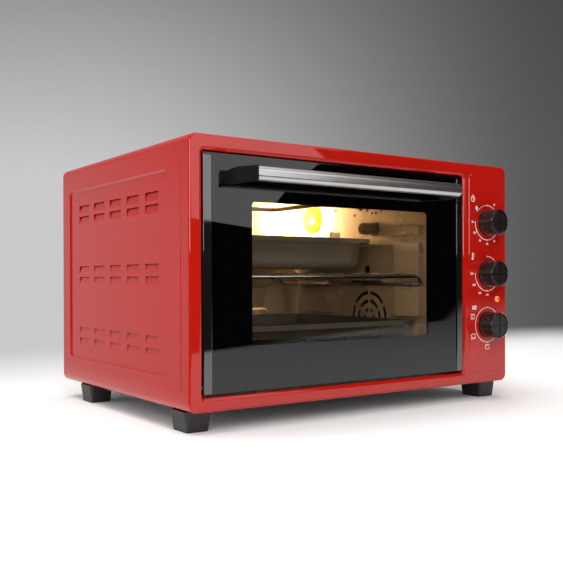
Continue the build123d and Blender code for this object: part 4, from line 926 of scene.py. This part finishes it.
def hangLamp(name, data, location, turn):
    lamp = bpy.data.objects.new(name, data)
    bpy.context.collection.objects.link(lamp)
    lamp.location = location
    lamp.rotation_euler = turn
    lamp.visible_camera = False
    lamp.visible_glossy = False
    lamp.visible_transmission = False


for name, values in lamps.items():
    aim = Vector(values["to"]) - Vector(values["at"])
    turn = aim.to_track_quat("-Z", "Y").to_euler()
    hangLamp(name, lampData(name, "AREA", values), values["at"], turn)

# cards that only reflections see: facing is the azimuth from -Y towards +X, and the outline runs
# along the card and up; or the corners themselves are given
cards = {
    "softbox": {
        "facing": 34.0, "distance": 1.9, "strength": 1.8,
        "outline": [
            (-0.27, 0.345), (-0.161, 0.480), (-0.030, 0.583), (-0.077, 0.624), (0.03, 0.75),
            (0.30, 1.60), (-1.60, 1.60), (-1.60, 0.57), (-0.469, 0.378),
        ],
    },
    "edgeStrip": {
        "facing": -40.0, "distance": 2.0, "strength": 6.0,
        "outline": [(-0.45, 0.262), (0.45, 0.262), (0.45, 1.1), (-0.45, 1.1)],
    },
    "overhead": {
        "corners": [(-1.3, -1.5, 1.9), (1.3, -1.5, 1.9), (1.3, 0.4, 2.3), (-1.3, 0.4, 2.3)],
        "strength": 1.3,
    },
}


def cardCorners(values):
    if "corners" in values:
        return values["corners"]
    turn = math.radians(values["facing"])
    out = np.array([math.sin(turn), -math.cos(turn)]) * values["distance"]
    along = np.array([math.cos(turn), math.sin(turn)])
    s, z = np.array(values["outline"]).T
    return np.column_stack([out + s[:, None] * along, z]).tolist()


def makeCard(name, values):
    material, tree, shader = newMaterial(name + "Glow")
    toSurface(tree, emission(tree, (1.0, 1.0, 1.0), values["strength"]))
    tree.nodes.remove(shader)
    mesh = bpy.data.meshes.new(name)
    corners = cardCorners(values)
    mesh.from_pydata(corners, [], [tuple(range(len(corners)))])
    card = place(name, mesh, material, smooth=False)
    card.visible_camera = False
    card.visible_diffuse = False
    card.visible_shadow = False


for name, values in cards.items():
    makeCard(name, values)

worldValues = {"Color": (0.5, 0.5, 0.5, 1), "Strength": 0.3}
world = bpy.data.worlds.new("room")
world.use_nodes = True
setSockets(world.node_tree.nodes["Background"], worldValues)
bpy.context.scene.world = world

# the oven's own lamp, and a wide weak light behind the door for what the walls throw back
warm = (1.0, 0.70, 0.38)
insideLights = {
    "ovenLamp": {
        "kind": "POINT", "at": (372, 300, 244), "power": 3.0, "soft": 0.008, "colour": warm,
    },
    "ovenFill": {
        "kind": "AREA", "at": (224, 32, 150), "power": 0.20, "size": (0.30, 0.16), "colour": warm,
    },
}
towardsBack = (math.pi / 2, 0, 0)
for name, values in insideLights.items():
    hangLamp(name, lampData(name, values["kind"], values), at(*values["at"]), towardsBack)
print("studio lit")

bpy.context.scene.view_settings.view_transform = "Standard"
